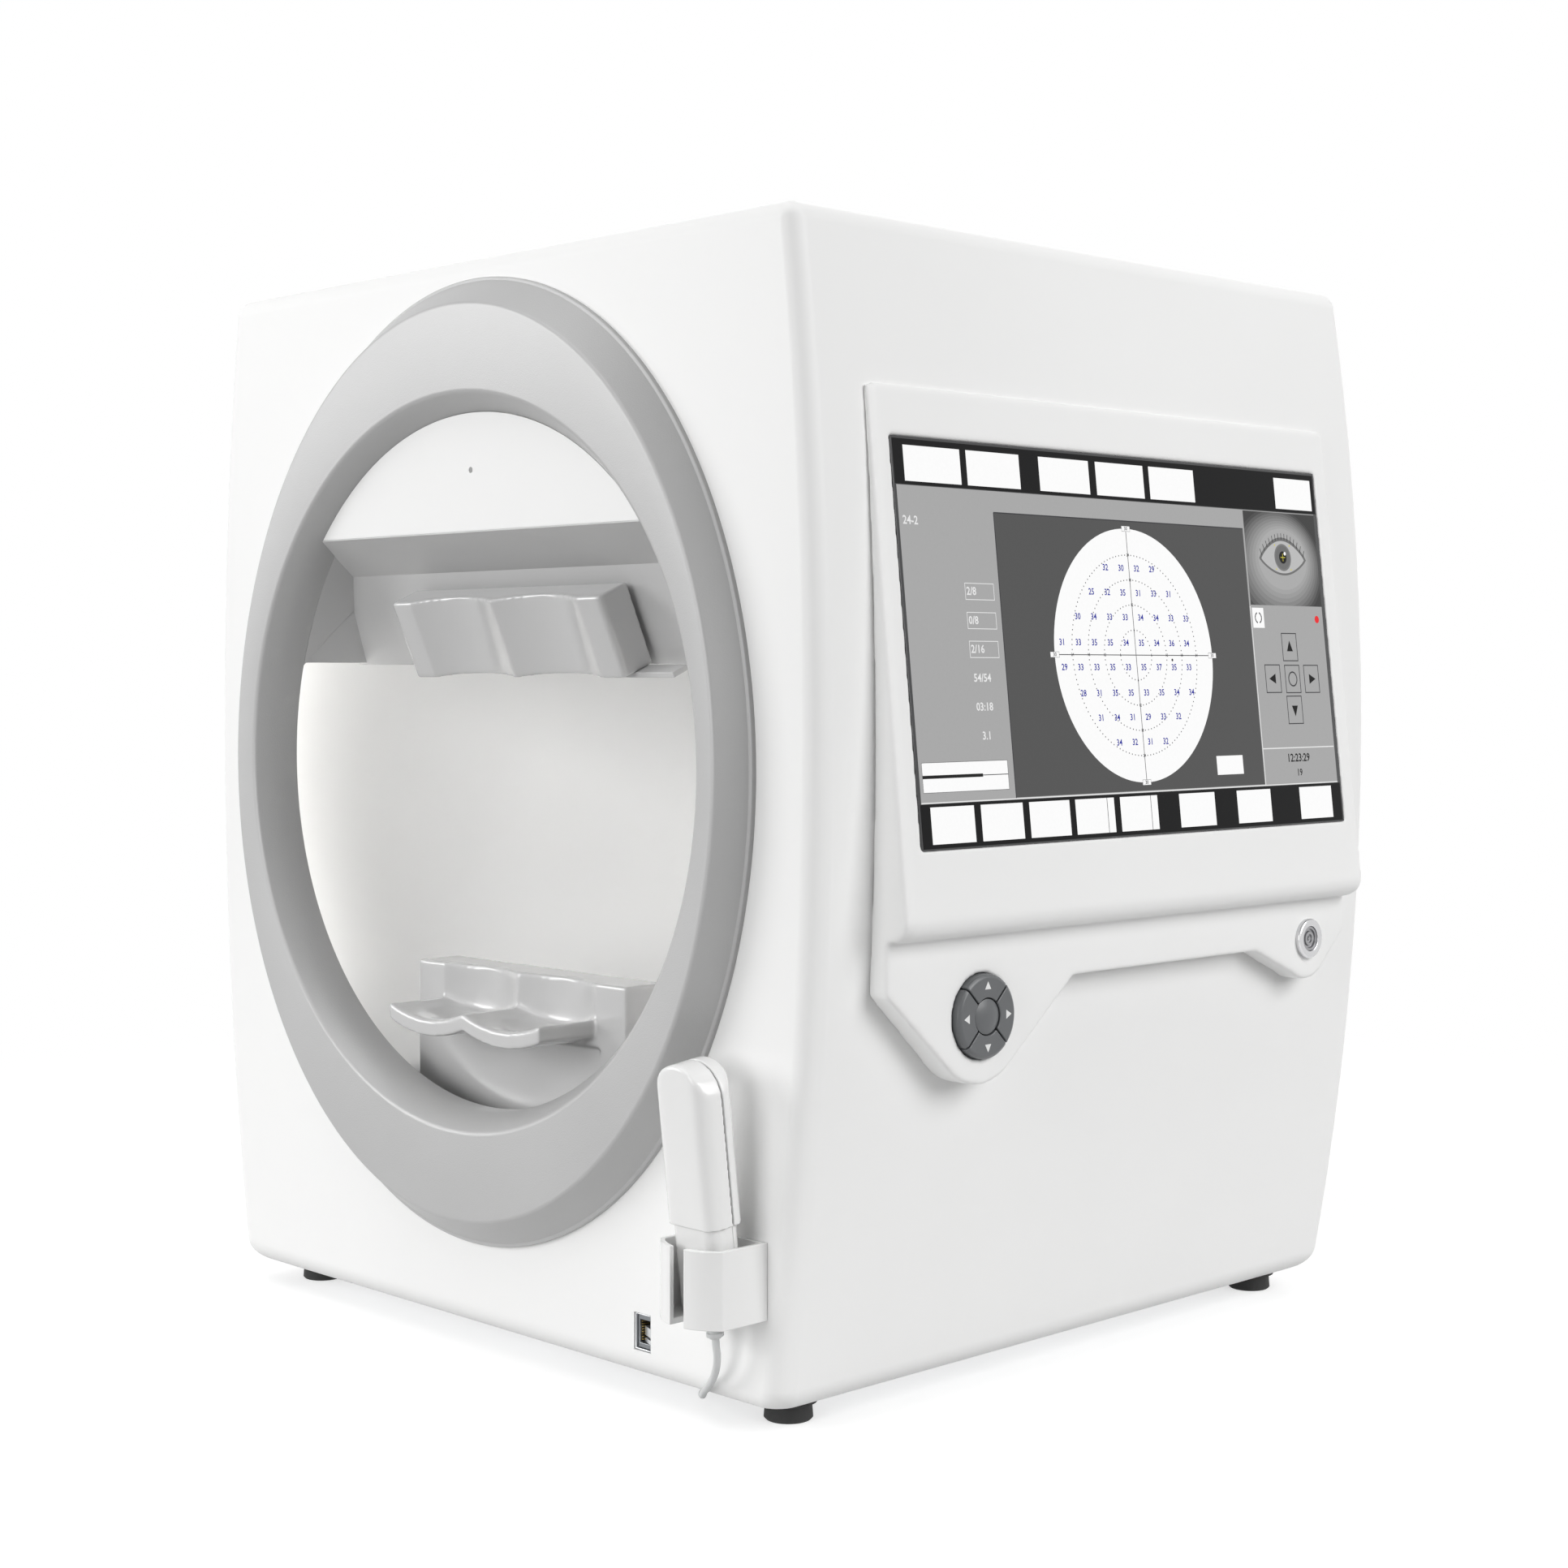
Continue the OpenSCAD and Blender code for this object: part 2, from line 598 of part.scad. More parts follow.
// Forehead pad: a leaning slab with two hollows, on two guide pins
hollow_r = (pow(pad_hollow_w / 2, 2) + pow(pad_hollow_d, 2)) / (2 * pad_hollow_d);
pad_edge_r = 3;
module pad_plan() difference() {
    union() {
        translate([-pad_w / 2 + pad_edge_r, -pad_t]) square([pad_w - 2 * pad_edge_r, pad_t]);
        translate([-pad_w / 2, -pad_t + pad_edge_r]) square([pad_w, pad_t - pad_edge_r]);
        for (s = [-1, 1]) translate([s * (pad_w / 2 - pad_edge_r),
            -pad_t + pad_edge_r]) circle(pad_edge_r);
    }
    for (s = [-1, 1]) translate([s * pad_hollow_w / 2,
        -pad_t - hollow_r + pad_hollow_d]) circle(hollow_r, $fn = 200);
}
module forehead_pad() color("#b0b1b1") on_beam() difference() {
    translate([0, -pad_gap, -pad_drop - pad_h]) linear_extrude(pad_h) pad_plan();
    for (s = [-1, 1]) rod_y(guide_r, -pad_gap - pad_t / 2, 0, s * guide_x, -pad_drop - pad_h / 2);
}
tab_len = 40;
module forehead_guides() color("#8c8e8e") on_beam() {
    for (s = [-1, 1]) rod_y(guide_r, -pad_gap - pad_t / 2, 12, s * guide_x, -pad_drop - pad_h / 2);
    box([pad_w / 2 - 12, -pad_gap - pad_t + 8, -pad_drop - pad_h - 3],
        [pad_w / 2 + tab_len - 12, -pad_gap - 2, -pad_drop - pad_h]);
}
module forehead_switch() color("#303030") on_beam() {
    box([switch_x - 10, sheet_t, -pad_drop - pad_h / 2 - 5],
        [switch_x + 10, sheet_t + 6.5, -pad_drop - pad_h / 2 + 5]);
}

// Chin rest: a block with two scallops above two cups
cross_z = floor_z + 80.5;
slide_half_h = 7;
slide_top_z = cross_z + slide_half_h;
chin_front_y = front_y + 27;
chin_back_y = chin_front_y + chin_d;
cup_w = cups_half_w;
cup_r = (pow(cup_w / 2, 2) + pow(cup_dip, 2)) / (2 * cup_dip);
cup_rim_z = chin_z - 18.5;
cup_steps = 12;
scallop_d = 6;
scallop_r = (pow(cup_w / 2, 2) + pow(scallop_d, 2)) / (2 * scallop_d);
throat_r = 86;
throat_z = chin_z + 17;
throat_d = 3;
function cup_line(x) =
    let (c = x < 0 ? -cup_w / 2 : cup_w / 2)
    cup_rim_z - cup_dip + cup_r - sqrt(cup_r * cup_r - (x - c) * (x - c));
cup_outline = concat(
    [for (i = [-cup_steps:cup_steps]) let (x = cup_w * i / cup_steps) [x, cup_line(x)]],
    [for (i = [cup_steps:-1:-cup_steps]) let (x = cup_w * i / cup_steps) [x, cup_line(x) - cup_t]]);
dish_r = 46;
module chin_rest() color("#b6b8b8") difference() {
    union() {
        box([-chin_half_w, chin_front_y, slide_top_z], [chin_half_w, chin_back_y, chin_z]);
        translate([0, chin_front_y + scallop_d, 0]) rotate([90, 0, 0])
            linear_extrude(cups_out + scallop_d) polygon(cup_outline);
    }
    for (s = [-1, 1]) {
        intersection() {
            rod_z(scallop_r, cup_rim_z - cup_dip, chin_z + 1, s * cup_w / 2,
                chin_front_y + scallop_d - scallop_r);
            translate([0, chin_front_y + scallop_d + 1, 0]) rotate([90, 0, 0])
                linear_extrude(far) polygon(concat([[-cup_w, chin_z + 1]],
                    [for (i = [-cup_steps:cup_steps]) let (x = cup_w * i / cup_steps) [x, cup_line(x)]],
                    [[cup_w, chin_z + 1]]));
        }
        intersection() {
            translate([s * cup_w / 2, chin_front_y - 16,
                cup_rim_z - cup_dip + dish_r - 2.5]) sphere(r = dish_r);
            box([-far, -far, 0], [far, chin_front_y, far]);
        }
    }
    intersection() {
        rod_y(throat_r, chin_front_y - 1, chin_front_y + throat_d, 0, throat_z);
        box([-far, -far, slide_top_z + 2], [far, far, cup_rim_z - cup_dip - cup_t]);
    }
}

// Chin drive: the block rides on two cross rods in a lift frame, which climbs two upright rods
cross_r = 3;
cross_y = [chin_front_y + 4, chin_back_y - 4];
cross_screw_r = 2.5;
cross_screw_y = (cross_y[0] + cross_y[1]) / 2;
slide_half_w = 60;
frame_half_w = chin_half_w + 9;
cheek_t = 8;
frame_back = 10;
frame_z0 = cross_z - 17;
frame_z1 = cross_z - 9;
lift_y = chin_back_y + 16;
lift_rod_r = 4;
lift_rod_x = 80;
lift_screw_r = 4;
lift_top_z = frame_z1 + chin_travel_up + 8;
motor_w = 28;
small_motor_w = 2 * (slide_half_h - 1.5);
mount_t = 6;
mount_top_z = floor_z + mount_t;
lift_motor_h = frame_z0 - chin_travel_down - mount_top_z - 2;
module chin_slide() color("#6c7074") difference() {
    box([-slide_half_w, chin_front_y, cross_z - slide_half_h], [slide_half_w, chin_back_y, slide_top_z]);
    for (y = cross_y) rod_x(cross_r + run_gap, -far, far, y, cross_z);
    rod_x(cross_screw_r + run_gap, -far, far, cross_screw_y, cross_z);
}
module chin_lift_frame() color("#80868c") difference() {
    union() {
        box([-frame_half_w, chin_front_y - 2, frame_z0], [frame_half_w, lift_y + frame_back, frame_z1]);
        for (s = [-1, 1])
            box([s * frame_half_w - (s > 0 ? cheek_t : 0), chin_front_y - 2, frame_z1],
                [s * frame_half_w + (s > 0 ? 0 : cheek_t), chin_back_y + 2, slide_top_z - 1]);
    }
    for (y = cross_y) rod_x(cross_r, -far, far, y, cross_z);
    rod_x(cross_screw_r + run_gap, -far, far, cross_screw_y, cross_z);
    for (s = [-1, 1]) rod_z(lift_rod_r + run_gap, 0, far, s * lift_rod_x, lift_y);
    rod_z(lift_screw_r + run_gap, 0, far, 0, lift_y);
}
module chin_x_rods() color("Silver") for (y = cross_y) rod_x(cross_r, -frame_half_w, frame_half_w, y,
    cross_z);
module chin_x_screw() color("Goldenrod")
    rod_x(cross_screw_r, -frame_half_w - 3, frame_half_w + fit_gap + 8, cross_screw_y, cross_z);
module chin_x_motor() color("#303438") difference() {
    x0 = frame_half_w;
    box([x0, cross_screw_y - small_motor_w / 2, cross_z - small_motor_w / 2],
        [x0 + 26, cross_screw_y + small_motor_w / 2, cross_z + small_motor_w / 2]);
    rod_x(cross_screw_r + run_gap, x0 - 1, x0 + fit_gap + 9, cross_screw_y, cross_z);
}
module chin_mount() color("#80868c") difference() {
    box([-frame_half_w, lift_y - 20, floor_z], [frame_half_w, lift_y + 20, mount_top_z]);
    for (s = [-1, 1]) rod_z(lift_rod_r, floor_z + 1, far, s * lift_rod_x, lift_y);
}
module chin_z_rods() color("Silver")
    for (s = [-1, 1]) rod_z(lift_rod_r, floor_z + 1, lift_top_z, s * lift_rod_x, lift_y);
module chin_z_motor() color("#303438") difference() {
    box([-motor_w / 2, lift_y - motor_w / 2, mount_top_z],
        [motor_w / 2, lift_y + motor_w / 2, mount_top_z + lift_motor_h]);
    rod_z(lift_screw_r + run_gap, mount_top_z + lift_motor_h - 10, far, 0, lift_y);
}
module chin_z_screw() color("Goldenrod") rod_z(lift_screw_r, mount_top_z + lift_motor_h - 10 + fit_gap,
    lift_top_z, 0, lift_y);

// Stimulus projector on a shelf behind the brow
shelf_z = brow_z + 14;
shelf_t = 3;
shelf_half_w = 112;
shelf_y0 = brow_y + 2 * sheet_t;
shelf_y1 = shelf_y0 + 92;
shelf_top = shelf_z + shelf_t;
beam_axis_y = shelf_y0 + 46;
beam_axis_z = shelf_top + 27;
lamp_r = 15;
lamp_x0 = -0.38 * bowl_r;
lamp_x1 = -62;
lens_r = 12;
wheel_y = beam_axis_y + 17;
wheel_r = 22;
wheel_x = -46;
wheel_shaft_r = 1.5;
wheel_motor_r = 10;
scan_x = 80;
yoke_half_w = 20;
yoke_t = 4;
scan_shaft_r = 2.5;
mirror_r = 14;
mirror_pin_r = 1.5;
cradle_w = 14;
module cradle(x0, x1, r, y) difference() {
    box([x0, y - cradle_w / 2, shelf_top - eps], [x1, y + cradle_w / 2, beam_axis_z]);
    rod_x(r, x0 - 1, x1 + 1, y, beam_axis_z);
}
module projector_shelf() color("#5c6064") difference() {
    union() {
        box([-shelf_half_w, shelf_y0, shelf_z], [shelf_half_w, shelf_y1, shelf_top]);
        cradle(lamp_x0 + 4, lamp_x1 - 4, lamp_r, beam_axis_y);
        cradle(-36, -20, wheel_motor_r, wheel_y);
        cradle(-4, 34, lens_r, beam_axis_y);
    }
    rod_z(scan_shaft_r + 1, shelf_z - 1, shelf_top + 1, scan_x, beam_axis_y);
}
module lamp_house() color("#3c4044") {
    difference() {
        rod_x(lamp_r, lamp_x0, lamp_x1, beam_axis_y, beam_axis_z);
        for (i = [0:2]) difference() {
            rod_x(lamp_r + 1, lamp_x0 + 2 + 4 * i, lamp_x0 + 4 + 4 * i, beam_axis_y, beam_axis_z);
            rod_x(lamp_r - 4, lamp_x0 + 1 + 4 * i, lamp_x0 + 5 + 4 * i, beam_axis_y, beam_axis_z);
            box([lamp_x0 - 1, beam_axis_y - lamp_r - 1, 0],
                [lamp_x1 + 1, beam_axis_y + lamp_r + 1, beam_axis_z]);
        }
        rod_x(5, lamp_x1 - 8, lamp_x1 + 1, beam_axis_y, beam_axis_z);
    }
}
module aperture_wheel() color("#202428") {
    difference() {
        rod_x(wheel_r, wheel_x, wheel_x + 1.5, wheel_y, beam_axis_z);
        for (i = [0:5]) translate([0, wheel_y, beam_axis_z]) rotate([60 * i, 0, 0])
            rod_x(1 + 0.6 * i, wheel_x - 1, wheel_x + 3, -17, 0);
    }
    rod_x(wheel_shaft_r, wheel_x - 1, -30, wheel_y, beam_axis_z);
}
module wheel_motor() color("#8c9094") difference() {
    rod_x(wheel_motor_r, -38, -18, wheel_y, beam_axis_z);
    rod_x(wheel_shaft_r + run_gap, -39, -29, wheel_y, beam_axis_z);
}
module lens_barrel() color("#202428") difference() {
    rod_x(lens_r, -8, 40, beam_axis_y, beam_axis_z);
    rod_x(lens_r - 3, -9, 8, beam_axis_y, beam_axis_z);
    rod_x(lens_r - 2, 30, 41, beam_axis_y, beam_axis_z);
}
module scan_motor() color("#303438") difference() {
    rod_z(12, shelf_z - 20, shelf_z, scan_x, beam_axis_y);
    rod_z(scan_shaft_r + run_gap, shelf_z - 14, shelf_z + 1, scan_x, beam_axis_y);
}
module scan_yoke() color("#8c9094") difference() {
    union() {
        rod_z(scan_shaft_r, shelf_z - 13, shelf_top + 3, scan_x, beam_axis_y);
        rod_z(8, shelf_top + fit_gap, shelf_top + 3, scan_x, beam_axis_y);
        box([scan_x - 6, beam_axis_y - yoke_half_w - yoke_t, shelf_top + 3],
            [scan_x + 6, beam_axis_y + yoke_half_w + yoke_t, shelf_top + 6]);
        for (s = [-1, 1])
            box([scan_x - 6, beam_axis_y + s * yoke_half_w - (s > 0 ? 0 : yoke_t), shelf_top + 6],
                [scan_x + 6, beam_axis_y + s * yoke_half_w + (s > 0 ? yoke_t : 0), beam_axis_z + 5]);
    }
    rod_y(mirror_pin_r + run_gap, beam_axis_y - far, beam_axis_y + far, scan_x, beam_axis_z);
}
module scan_mirror() color("LightSteelBlue") {
    translate([scan_x, beam_axis_y, beam_axis_z]) rotate([0, -45, 0])
        difference() {
            translate([0, 0, -2]) cylinder(r = mirror_r, h = 4);
            translate([0, 0, 2]) cylinder(r = mirror_r - 1, h = 4);
        }
    for (s = [0, 1])
        rod_y(mirror_pin_r, beam_axis_y + (s > 0 ? mirror_r - 2 : -yoke_half_w - yoke_t),
            beam_axis_y + (s > 0 ? yoke_half_w + yoke_t : -mirror_r + 2), scan_x, beam_axis_z);
}
camera_y = bowl_y + bowl_out_r;
module eye_camera() color("#202428") {
    rod_y(eye_hole_r - fit_gap, camera_y - bowl_t, camera_y + 6, 0, opening_z);
    box([-17, camera_y + 6, opening_z - 17], [17, camera_y + 26, opening_z + 17]);
    difference() {
        rod_y(12, camera_y - eps, camera_y + 6, 0, opening_z);
        translate([0, bowl_y, opening_z]) sphere(r = bowl_out_r);
    }
}

// Screen pod: a wedge that follows the casing's side, with the glass let into its face
pod_round = 10;
pod_edge = 4;
pod_seat_x = half_w(top_z) - 8;
function pod_section(d) =
    let (zt = pod_top_z - d, zb = pod_bottom_z + d, r = pod_round - d, xt = face_x(pod_top_z) - d)
    let (xb = face_x(zb + r) - d - r)
    concat([[pod_seat_x, zb], [pod_seat_x, zt], [xt, zt]],
        [for (i = [0:8]) let (a = screen_lean - (90 + screen_lean) * i / 8) [xb + r * cos(a),
            zb + r + r * sin(a)]]);
module pod_bar(d, w) translate([0, pod_y + w / 2, 0]) rotate([90, 0,
    0]) linear_extrude(w) polygon(pod_section(d));
module screen_pod() color("WhiteSmoke") difference() {
    union() {
        difference() {
            union() {
                pod_bar(0.8, pod_w);
                pod_bar(0, pod_w - 2 * pod_edge);
            }
            pod_bar(pod_t, pod_inner_w());
        }
        on_screen() difference() {
            box([-glass_t - 2, -glass_w / 2 - screen_ledge, -glass_h / 2 - screen_ledge],
                [-pod_t, glass_w / 2 + screen_ledge, glass_h / 2 + screen_ledge]);
            box([-far, -glass_w / 2 + screen_ledge, -glass_h / 2 + screen_ledge],
                [far, glass_w / 2 - screen_ledge, glass_h / 2 - screen_ledge]);
        }
    }
    on_screen() box([-glass_t, -glass_w / 2 - fit_gap, -glass_h / 2 - fit_gap],
        [far, glass_w / 2 + fit_gap, glass_h / 2 + fit_gap]);
    casing_solid();
    panel_block(fit_gap);
}
module screen_glass() color("#101214") on_screen() {
    box([-glass_t, -glass_w / 2, -glass_h / 2], [-0.4, glass_w / 2, glass_h / 2]);
}
module lcd_module() color("#303438") on_screen() {
    box([-glass_t - 2 - lcd_t, -glass_w / 2 - lcd_margin, -glass_h / 2 - lcd_margin],
        [-glass_t - 2, glass_w / 2 + lcd_margin, glass_h / 2 + lcd_margin]);
}

// Control panel outline: a band under the pod with one lobe for the keys and one for the power button
function on_lobe(c, r, a) = [c[0] + r * cos(a), c[1] + r * sin(a)];
panel_y0 = pod_y - pod_w / 2;
panel_y1 = pod_y + pod_w / 2;
panel_shoulder_z = pod_bottom_z - 25;
panel_over = 14;
band_run = 70;
power_run = 48;
dpad_c = [dpad_y, dpad_z];
power_c = [power_y, power_z];
module panel_outline(grow) {
    polygon([[panel_y0 - grow, pod_bottom_z + panel_over + grow], [panel_y0 - grow, panel_shoulder_z],
        on_lobe(dpad_c, dpad_lobe_r + grow, 228), on_lobe(dpad_c, dpad_lobe_r + grow, 312),
        [dpad_y + band_run, band_z - grow], [power_y - power_run, band_z - grow],
        on_lobe(power_c, power_lobe_r + grow, 235), on_lobe(power_c, power_lobe_r + grow, 305),
        [panel_y1 + grow, power_z + 2], [panel_y1 + grow, pod_bottom_z + panel_over + grow]]);
    translate(dpad_c) circle(dpad_lobe_r + grow);
    translate(power_c) circle(power_lobe_r + grow);
}
module panel_block(grow) on_side(pod_seat_x) linear_extrude(panel_x - pod_seat_x
    + grow) panel_outline(grow);
module control_panel() color("WhiteSmoke") difference() {
    panel_block(0);
    casing_solid();
    rod_x(pad_key_r + fit_gap, 0, far, dpad_y, dpad_z);
    rod_x(pocket_r, 0, panel_x - panel_skin, dpad_y, dpad_z);
    rod_x(power_body_r + fit_gap, 0, far, power_y, power_z);
}
module key_board() color("DarkGreen") {
    rod_x(pocket_r - fit_gap, board_x, board_x + board_t, dpad_y, dpad_z);
    for (a = [0, 90, 180, 270]) translate([0, dpad_y, dpad_z]) rotate([a, 0, 0]) key_switch(key_ring_r);
    translate([0, dpad_y, dpad_z]) key_switch(0);
}
key_ring_r = (pad_key_r + mid_key_r) / 2 + 1;
key_stem_r = 1.8;
module key_switch(r) box([board_x + board_t - eps, r - 2.5, -2.5],
    [board_x + board_t + switch_h, r + 2.5, 2.5]);
key_stem_x = board_x + board_t + switch_h + key_travel + fit_gap;
key_top_x = panel_x + key_proud;
// One arrow key: a quarter of the ring, with a skirt under the panel and a stem down to its switch
module arrow_key(turn) color("#5a5c5e") translate([0, dpad_y, dpad_z]) rotate([turn, 0, 0]) {
    intersection() {
        difference() {
            union() {
                rod_x(pad_key_r, panel_x - panel_skin - key_travel - fit_gap, key_top_x - 1.2, 0, 0);
                translate([key_top_x - 1.2, 0, 0]) rotate([0, 90, 0]) cylinder(r1 = pad_key_r,
                    r2 = pad_key_r - 1.6, h = 1.2);
                rod_x(pad_key_r + key_skirt, panel_x - panel_skin - key_skirt_t - fit_gap,
                    panel_x - panel_skin - fit_gap, 0, 0);
            }
            rod_x(mid_key_r + key_gap, -far, far, 0, 0);
        }
        rotate([90, 0, 90]) linear_extrude(far) polygon([[key_gap, 0], [far, far - key_gap],
            [far, key_gap - far]]);
    }
    rod_x(key_stem_r, key_stem_x, panel_x - panel_skin - fit_gap, key_ring_r, 0);
}
module key_right() arrow_key(0);
module key_up() arrow_key(90);
module key_left() arrow_key(180);
module key_down() arrow_key(270);
module key_middle() color("#505254") translate([0, dpad_y, dpad_z]) {
    rod_x(mid_key_r, panel_x - panel_skin - key_skirt_t - fit_gap, key_top_x - 1, 0, 0);
    translate([key_top_x - 1, 0, 0]) rotate([0, 90, 0]) cylinder(r1 = mid_key_r, r2 = mid_key_r - 1.5,
        h = 1);
    rod_x(key_stem_r, key_stem_x, panel_x - panel_skin - fit_gap, 0, 0);
}
module power_ring() color("Gainsboro") translate([0, power_y, power_z]) difference() {
    union() {
        rod_x(power_d / 2, panel_x, panel_x + power_ring_t - 1, 0, 0);
        translate([panel_x + power_ring_t - 1, 0, 0]) rotate([0, 90, 0])
            cylinder(r1 = power_d / 2, r2 = power_d / 2 - 1.5, h = 1);
        rod_x(power_body_r, panel_x - power_body_len, panel_x, 0, 0);
    }
    rod_x(power_cap_r + run_gap, panel_x - power_body_len / 2, far, 0, 0);
}
module power_cap() color("Silver") translate([0, power_y, power_z]) {
    rod_x(power_cap_r, panel_x - power_body_len / 2 + power_travel + fit_gap,
        panel_x + power_ring_t - 0.3, 0, 0);
}

// Front socket: a shielded modular jack on its side
jack_x = 133.5;
jack_z = 35.5;
jack_w = 12;
jack_h = 18;
jack_len = 21;
jack_bore_w = 7;
jack_bore_h = 11.8;
module front_socket() color("Silver") difference() {
    box([jack_x - jack_w / 2, front_y + 0.5, jack_z - jack_h / 2],
        [jack_x + jack_w / 2, front_y + jack_len, jack_z + jack_h / 2]);
    box([jack_x - jack_bore_w / 2, front_y - 1, jack_z - jack_bore_h / 2],
        [jack_x + jack_bore_w / 2, front_y + jack_len - 6, jack_z + jack_bore_h / 2]);
    box([jack_x + jack_bore_w / 2 - eps, front_y - 1, jack_z - 3],
        [jack_x + jack_bore_w / 2 + 1.6, front_y + jack_len - 8, jack_z + 3]);
}

// Back: inlet with rocker, fan, boards
inlet_len = 24;
pin_h = 9;
inlet_flange = 1.6;
module mains_inlet() color("#202020") {
    difference() {
        union() {
            slab_xz(inlet_w, inlet_h, 2, recess_floor_y - inlet_len, recess_floor_y + eps, inlet_x,
                inlet_z);
            slab_xz(inlet_w + 20, inlet_h + 5, 3, recess_floor_y, recess_floor_y + inlet_flange,
                inlet_x, inlet_z);
        }
        slab_xz(inlet_w - 4, inlet_h - 5, 2, recess_floor_y - 16, far, inlet_x, inlet_z);
    }
    for (p = [[-7, -2], [7, -2], [0, 2]])
        box([inlet_x + p[0] - 1, recess_floor_y - 16 - eps, inlet_z + p[1] - 2],
            [inlet_x + p[0] + 1, recess_floor_y - 16 + pin_h, inlet_z + p[1] + 2]);
    difference() {
        union() {
            slab_xz(rocker_w, rocker_h, 1, recess_floor_y - 16, recess_floor_y + eps, inlet_x, rocker_z);
            slab_xz(rocker_w + 4, rocker_h + 4, 2, recess_floor_y, recess_floor_y + inlet_flange,
                inlet_x, rocker_z);
        }
        slab_xz(rocker_w - 3, rocker_h - 3, 0.6, recess_floor_y - 12, far, inlet_x, rocker_z);
        rod_x(rocker_pin_r + run_gap, inlet_x - rocker_w / 2 + 0.4, inlet_x + rocker_w / 2 - 0.4,
            recess_floor_y - 3, rocker_z);
    }
}
rocker_pin_r = 1;
rocker_swing = 8;
// Rocker: two faces that slope away from its pivot
module mains_rocker() color("#303030") {
    translate([inlet_x - rocker_w / 2 + 2, recess_floor_y - 3, rocker_z]) rotate([90, 0,
        90]) linear_extrude(rocker_w - 4)
        polygon([[-5, -2], [-5, 2], [3.4, 4.2], [4.4, 0], [3.4, -4.2]]);
    rod_x(rocker_pin_r, inlet_x - rocker_w / 2 + 0.7, inlet_x + rocker_w / 2 - 0.7, recess_floor_y - 3,
        rocker_z);
}
fan_back_y = fan_front_y - fan_d;
module fan_frame() color("#282828") difference() {
    slab_xz(fan_w, fan_w, 3, fan_back_y, fan_front_y, fan_x, fan_z);
    difference() {
        rod_y(fan_w / 2 - 3, fan_back_y - 1, fan_front_y + 1, fan_x, fan_z);
        rod_y(17, fan_back_y, fan_back_y + 3, fan_x, fan_z);
        for (a = [0, 90, 180, 270]) translate([fan_x, 0, fan_z]) rotate([0, a, 0])
            box([-3, fan_back_y, 0], [3, fan_back_y + 3, fan_w / 2]);
    }
    rod_y(fan_shaft_r + run_gap, fan_back_y - 1, fan_back_y + 4, fan_x, fan_z);
}
fan_shaft_r = 2;
fan_blades = 7;
module fan_rotor() color("#383838") {
    rod_y(fan_shaft_r, fan_back_y + 0.5, fan_back_y + 6, fan_x, fan_z);
    rod_y(16, fan_back_y + 3 + fit_gap, fan_front_y - 2, fan_x, fan_z);
    for (i = [0:fan_blades - 1]) translate([fan_x, 0, fan_z]) rotate([0, 360 * i / fan_blades, 0])
        translate([0, (fan_back_y + fan_front_y) / 2 + 1, 15]) rotate([0, 0, 38])
            box([-0.9, -9, 0], [0.9, 9, fan_w / 2 - 21]);
}
board_z = ports_z - ports_h / 2 - board_t;
board_w = 120;
board_x0 = ports_x - board_w / 2;
board_len = 150;
port_len = 14;
chip_edge = 30;
chip_w = 40;
chip_h = 12;
board_y0 = recess_floor_y - board_len;
board_y1 = recess_floor_y - sheet_t - 4;
module main_board() color("DarkGreen") {
    box([board_x0, board_y0, board_z], [board_x0 + board_w, board_y1, board_z + board_t]);
    for (p = [[-31, 16, 14], [-13, 14, 8], [6, 14, 8], [27, 20, 12]])
        box([ports_x + p[0] - p[1] / 2, board_y1 - port_len, board_z + board_t - eps],
            [ports_x + p[0] + p[1] / 2, recess_floor_y + 0.5, board_z + board_t + p[2]]);
    box([ports_x - chip_edge, board_y0 + chip_edge, board_z + board_t - eps],
        [ports_x - chip_edge + chip_w, board_y0 + chip_edge + chip_w, board_z + board_t + chip_h]);
}
psu_w = 135;
psu_d = 100;
psu_h = 42;
psu_x0 = 24 - half_w(foot_h);
psu_y0 = 40;
module power_supply() color("Gray") difference() {
    box([psu_x0, psu_y0, floor_z], [psu_x0 + psu_w, psu_y0 + psu_d, floor_z + psu_h]);
    for (i = [0:7])
        box([psu_x0 + 10 + 15 * i, psu_y0 + 10, floor_z + psu_h - 1.5],
            [psu_x0 + 15 + 15 * i, psu_y0 + psu_d - 10, floor_z + psu_h + 1]);
}

// Handset frame: local z runs up its leaning axis, local -y faces the patient
hand_y = front_y - 15;
neck_in = 1.6;
holster_floor_t = 3;
hand_z = holster_z + holster_floor_t + (hand_d / 2 - neck_in) * sin(hand_lean) + fit_gap;
module on_hand() translate([hand_x, hand_y, hand_z]) rotate([hand_lean, 0, 0]) children();
hand_seam = 3;
hand_round = 7;
hand_taper = 2;
shell_t = 2;
button_z0 = neck_len + 0.5;
// Plan of the handset at a given draw-in, between two depths
module hand_plan(d, y0, y1) intersection() {
    union() {
        square([hand_w - 2 * d - 2 * hand_round, hand_d - 2 * d], center = true);
        square([hand_w - 2 * d, hand_d - 2 * d - 2 * hand_round], center = true);
        for (i = [-1, 1]) for (j = [-1, 1])
            translate([i * (hand_w / 2 - d - hand_round),
                j * (hand_d / 2 - d - hand_round)]) circle(hand_round);
    }
    translate([-hand_w, y0]) square([2 * hand_w, y1 - y0]);
}
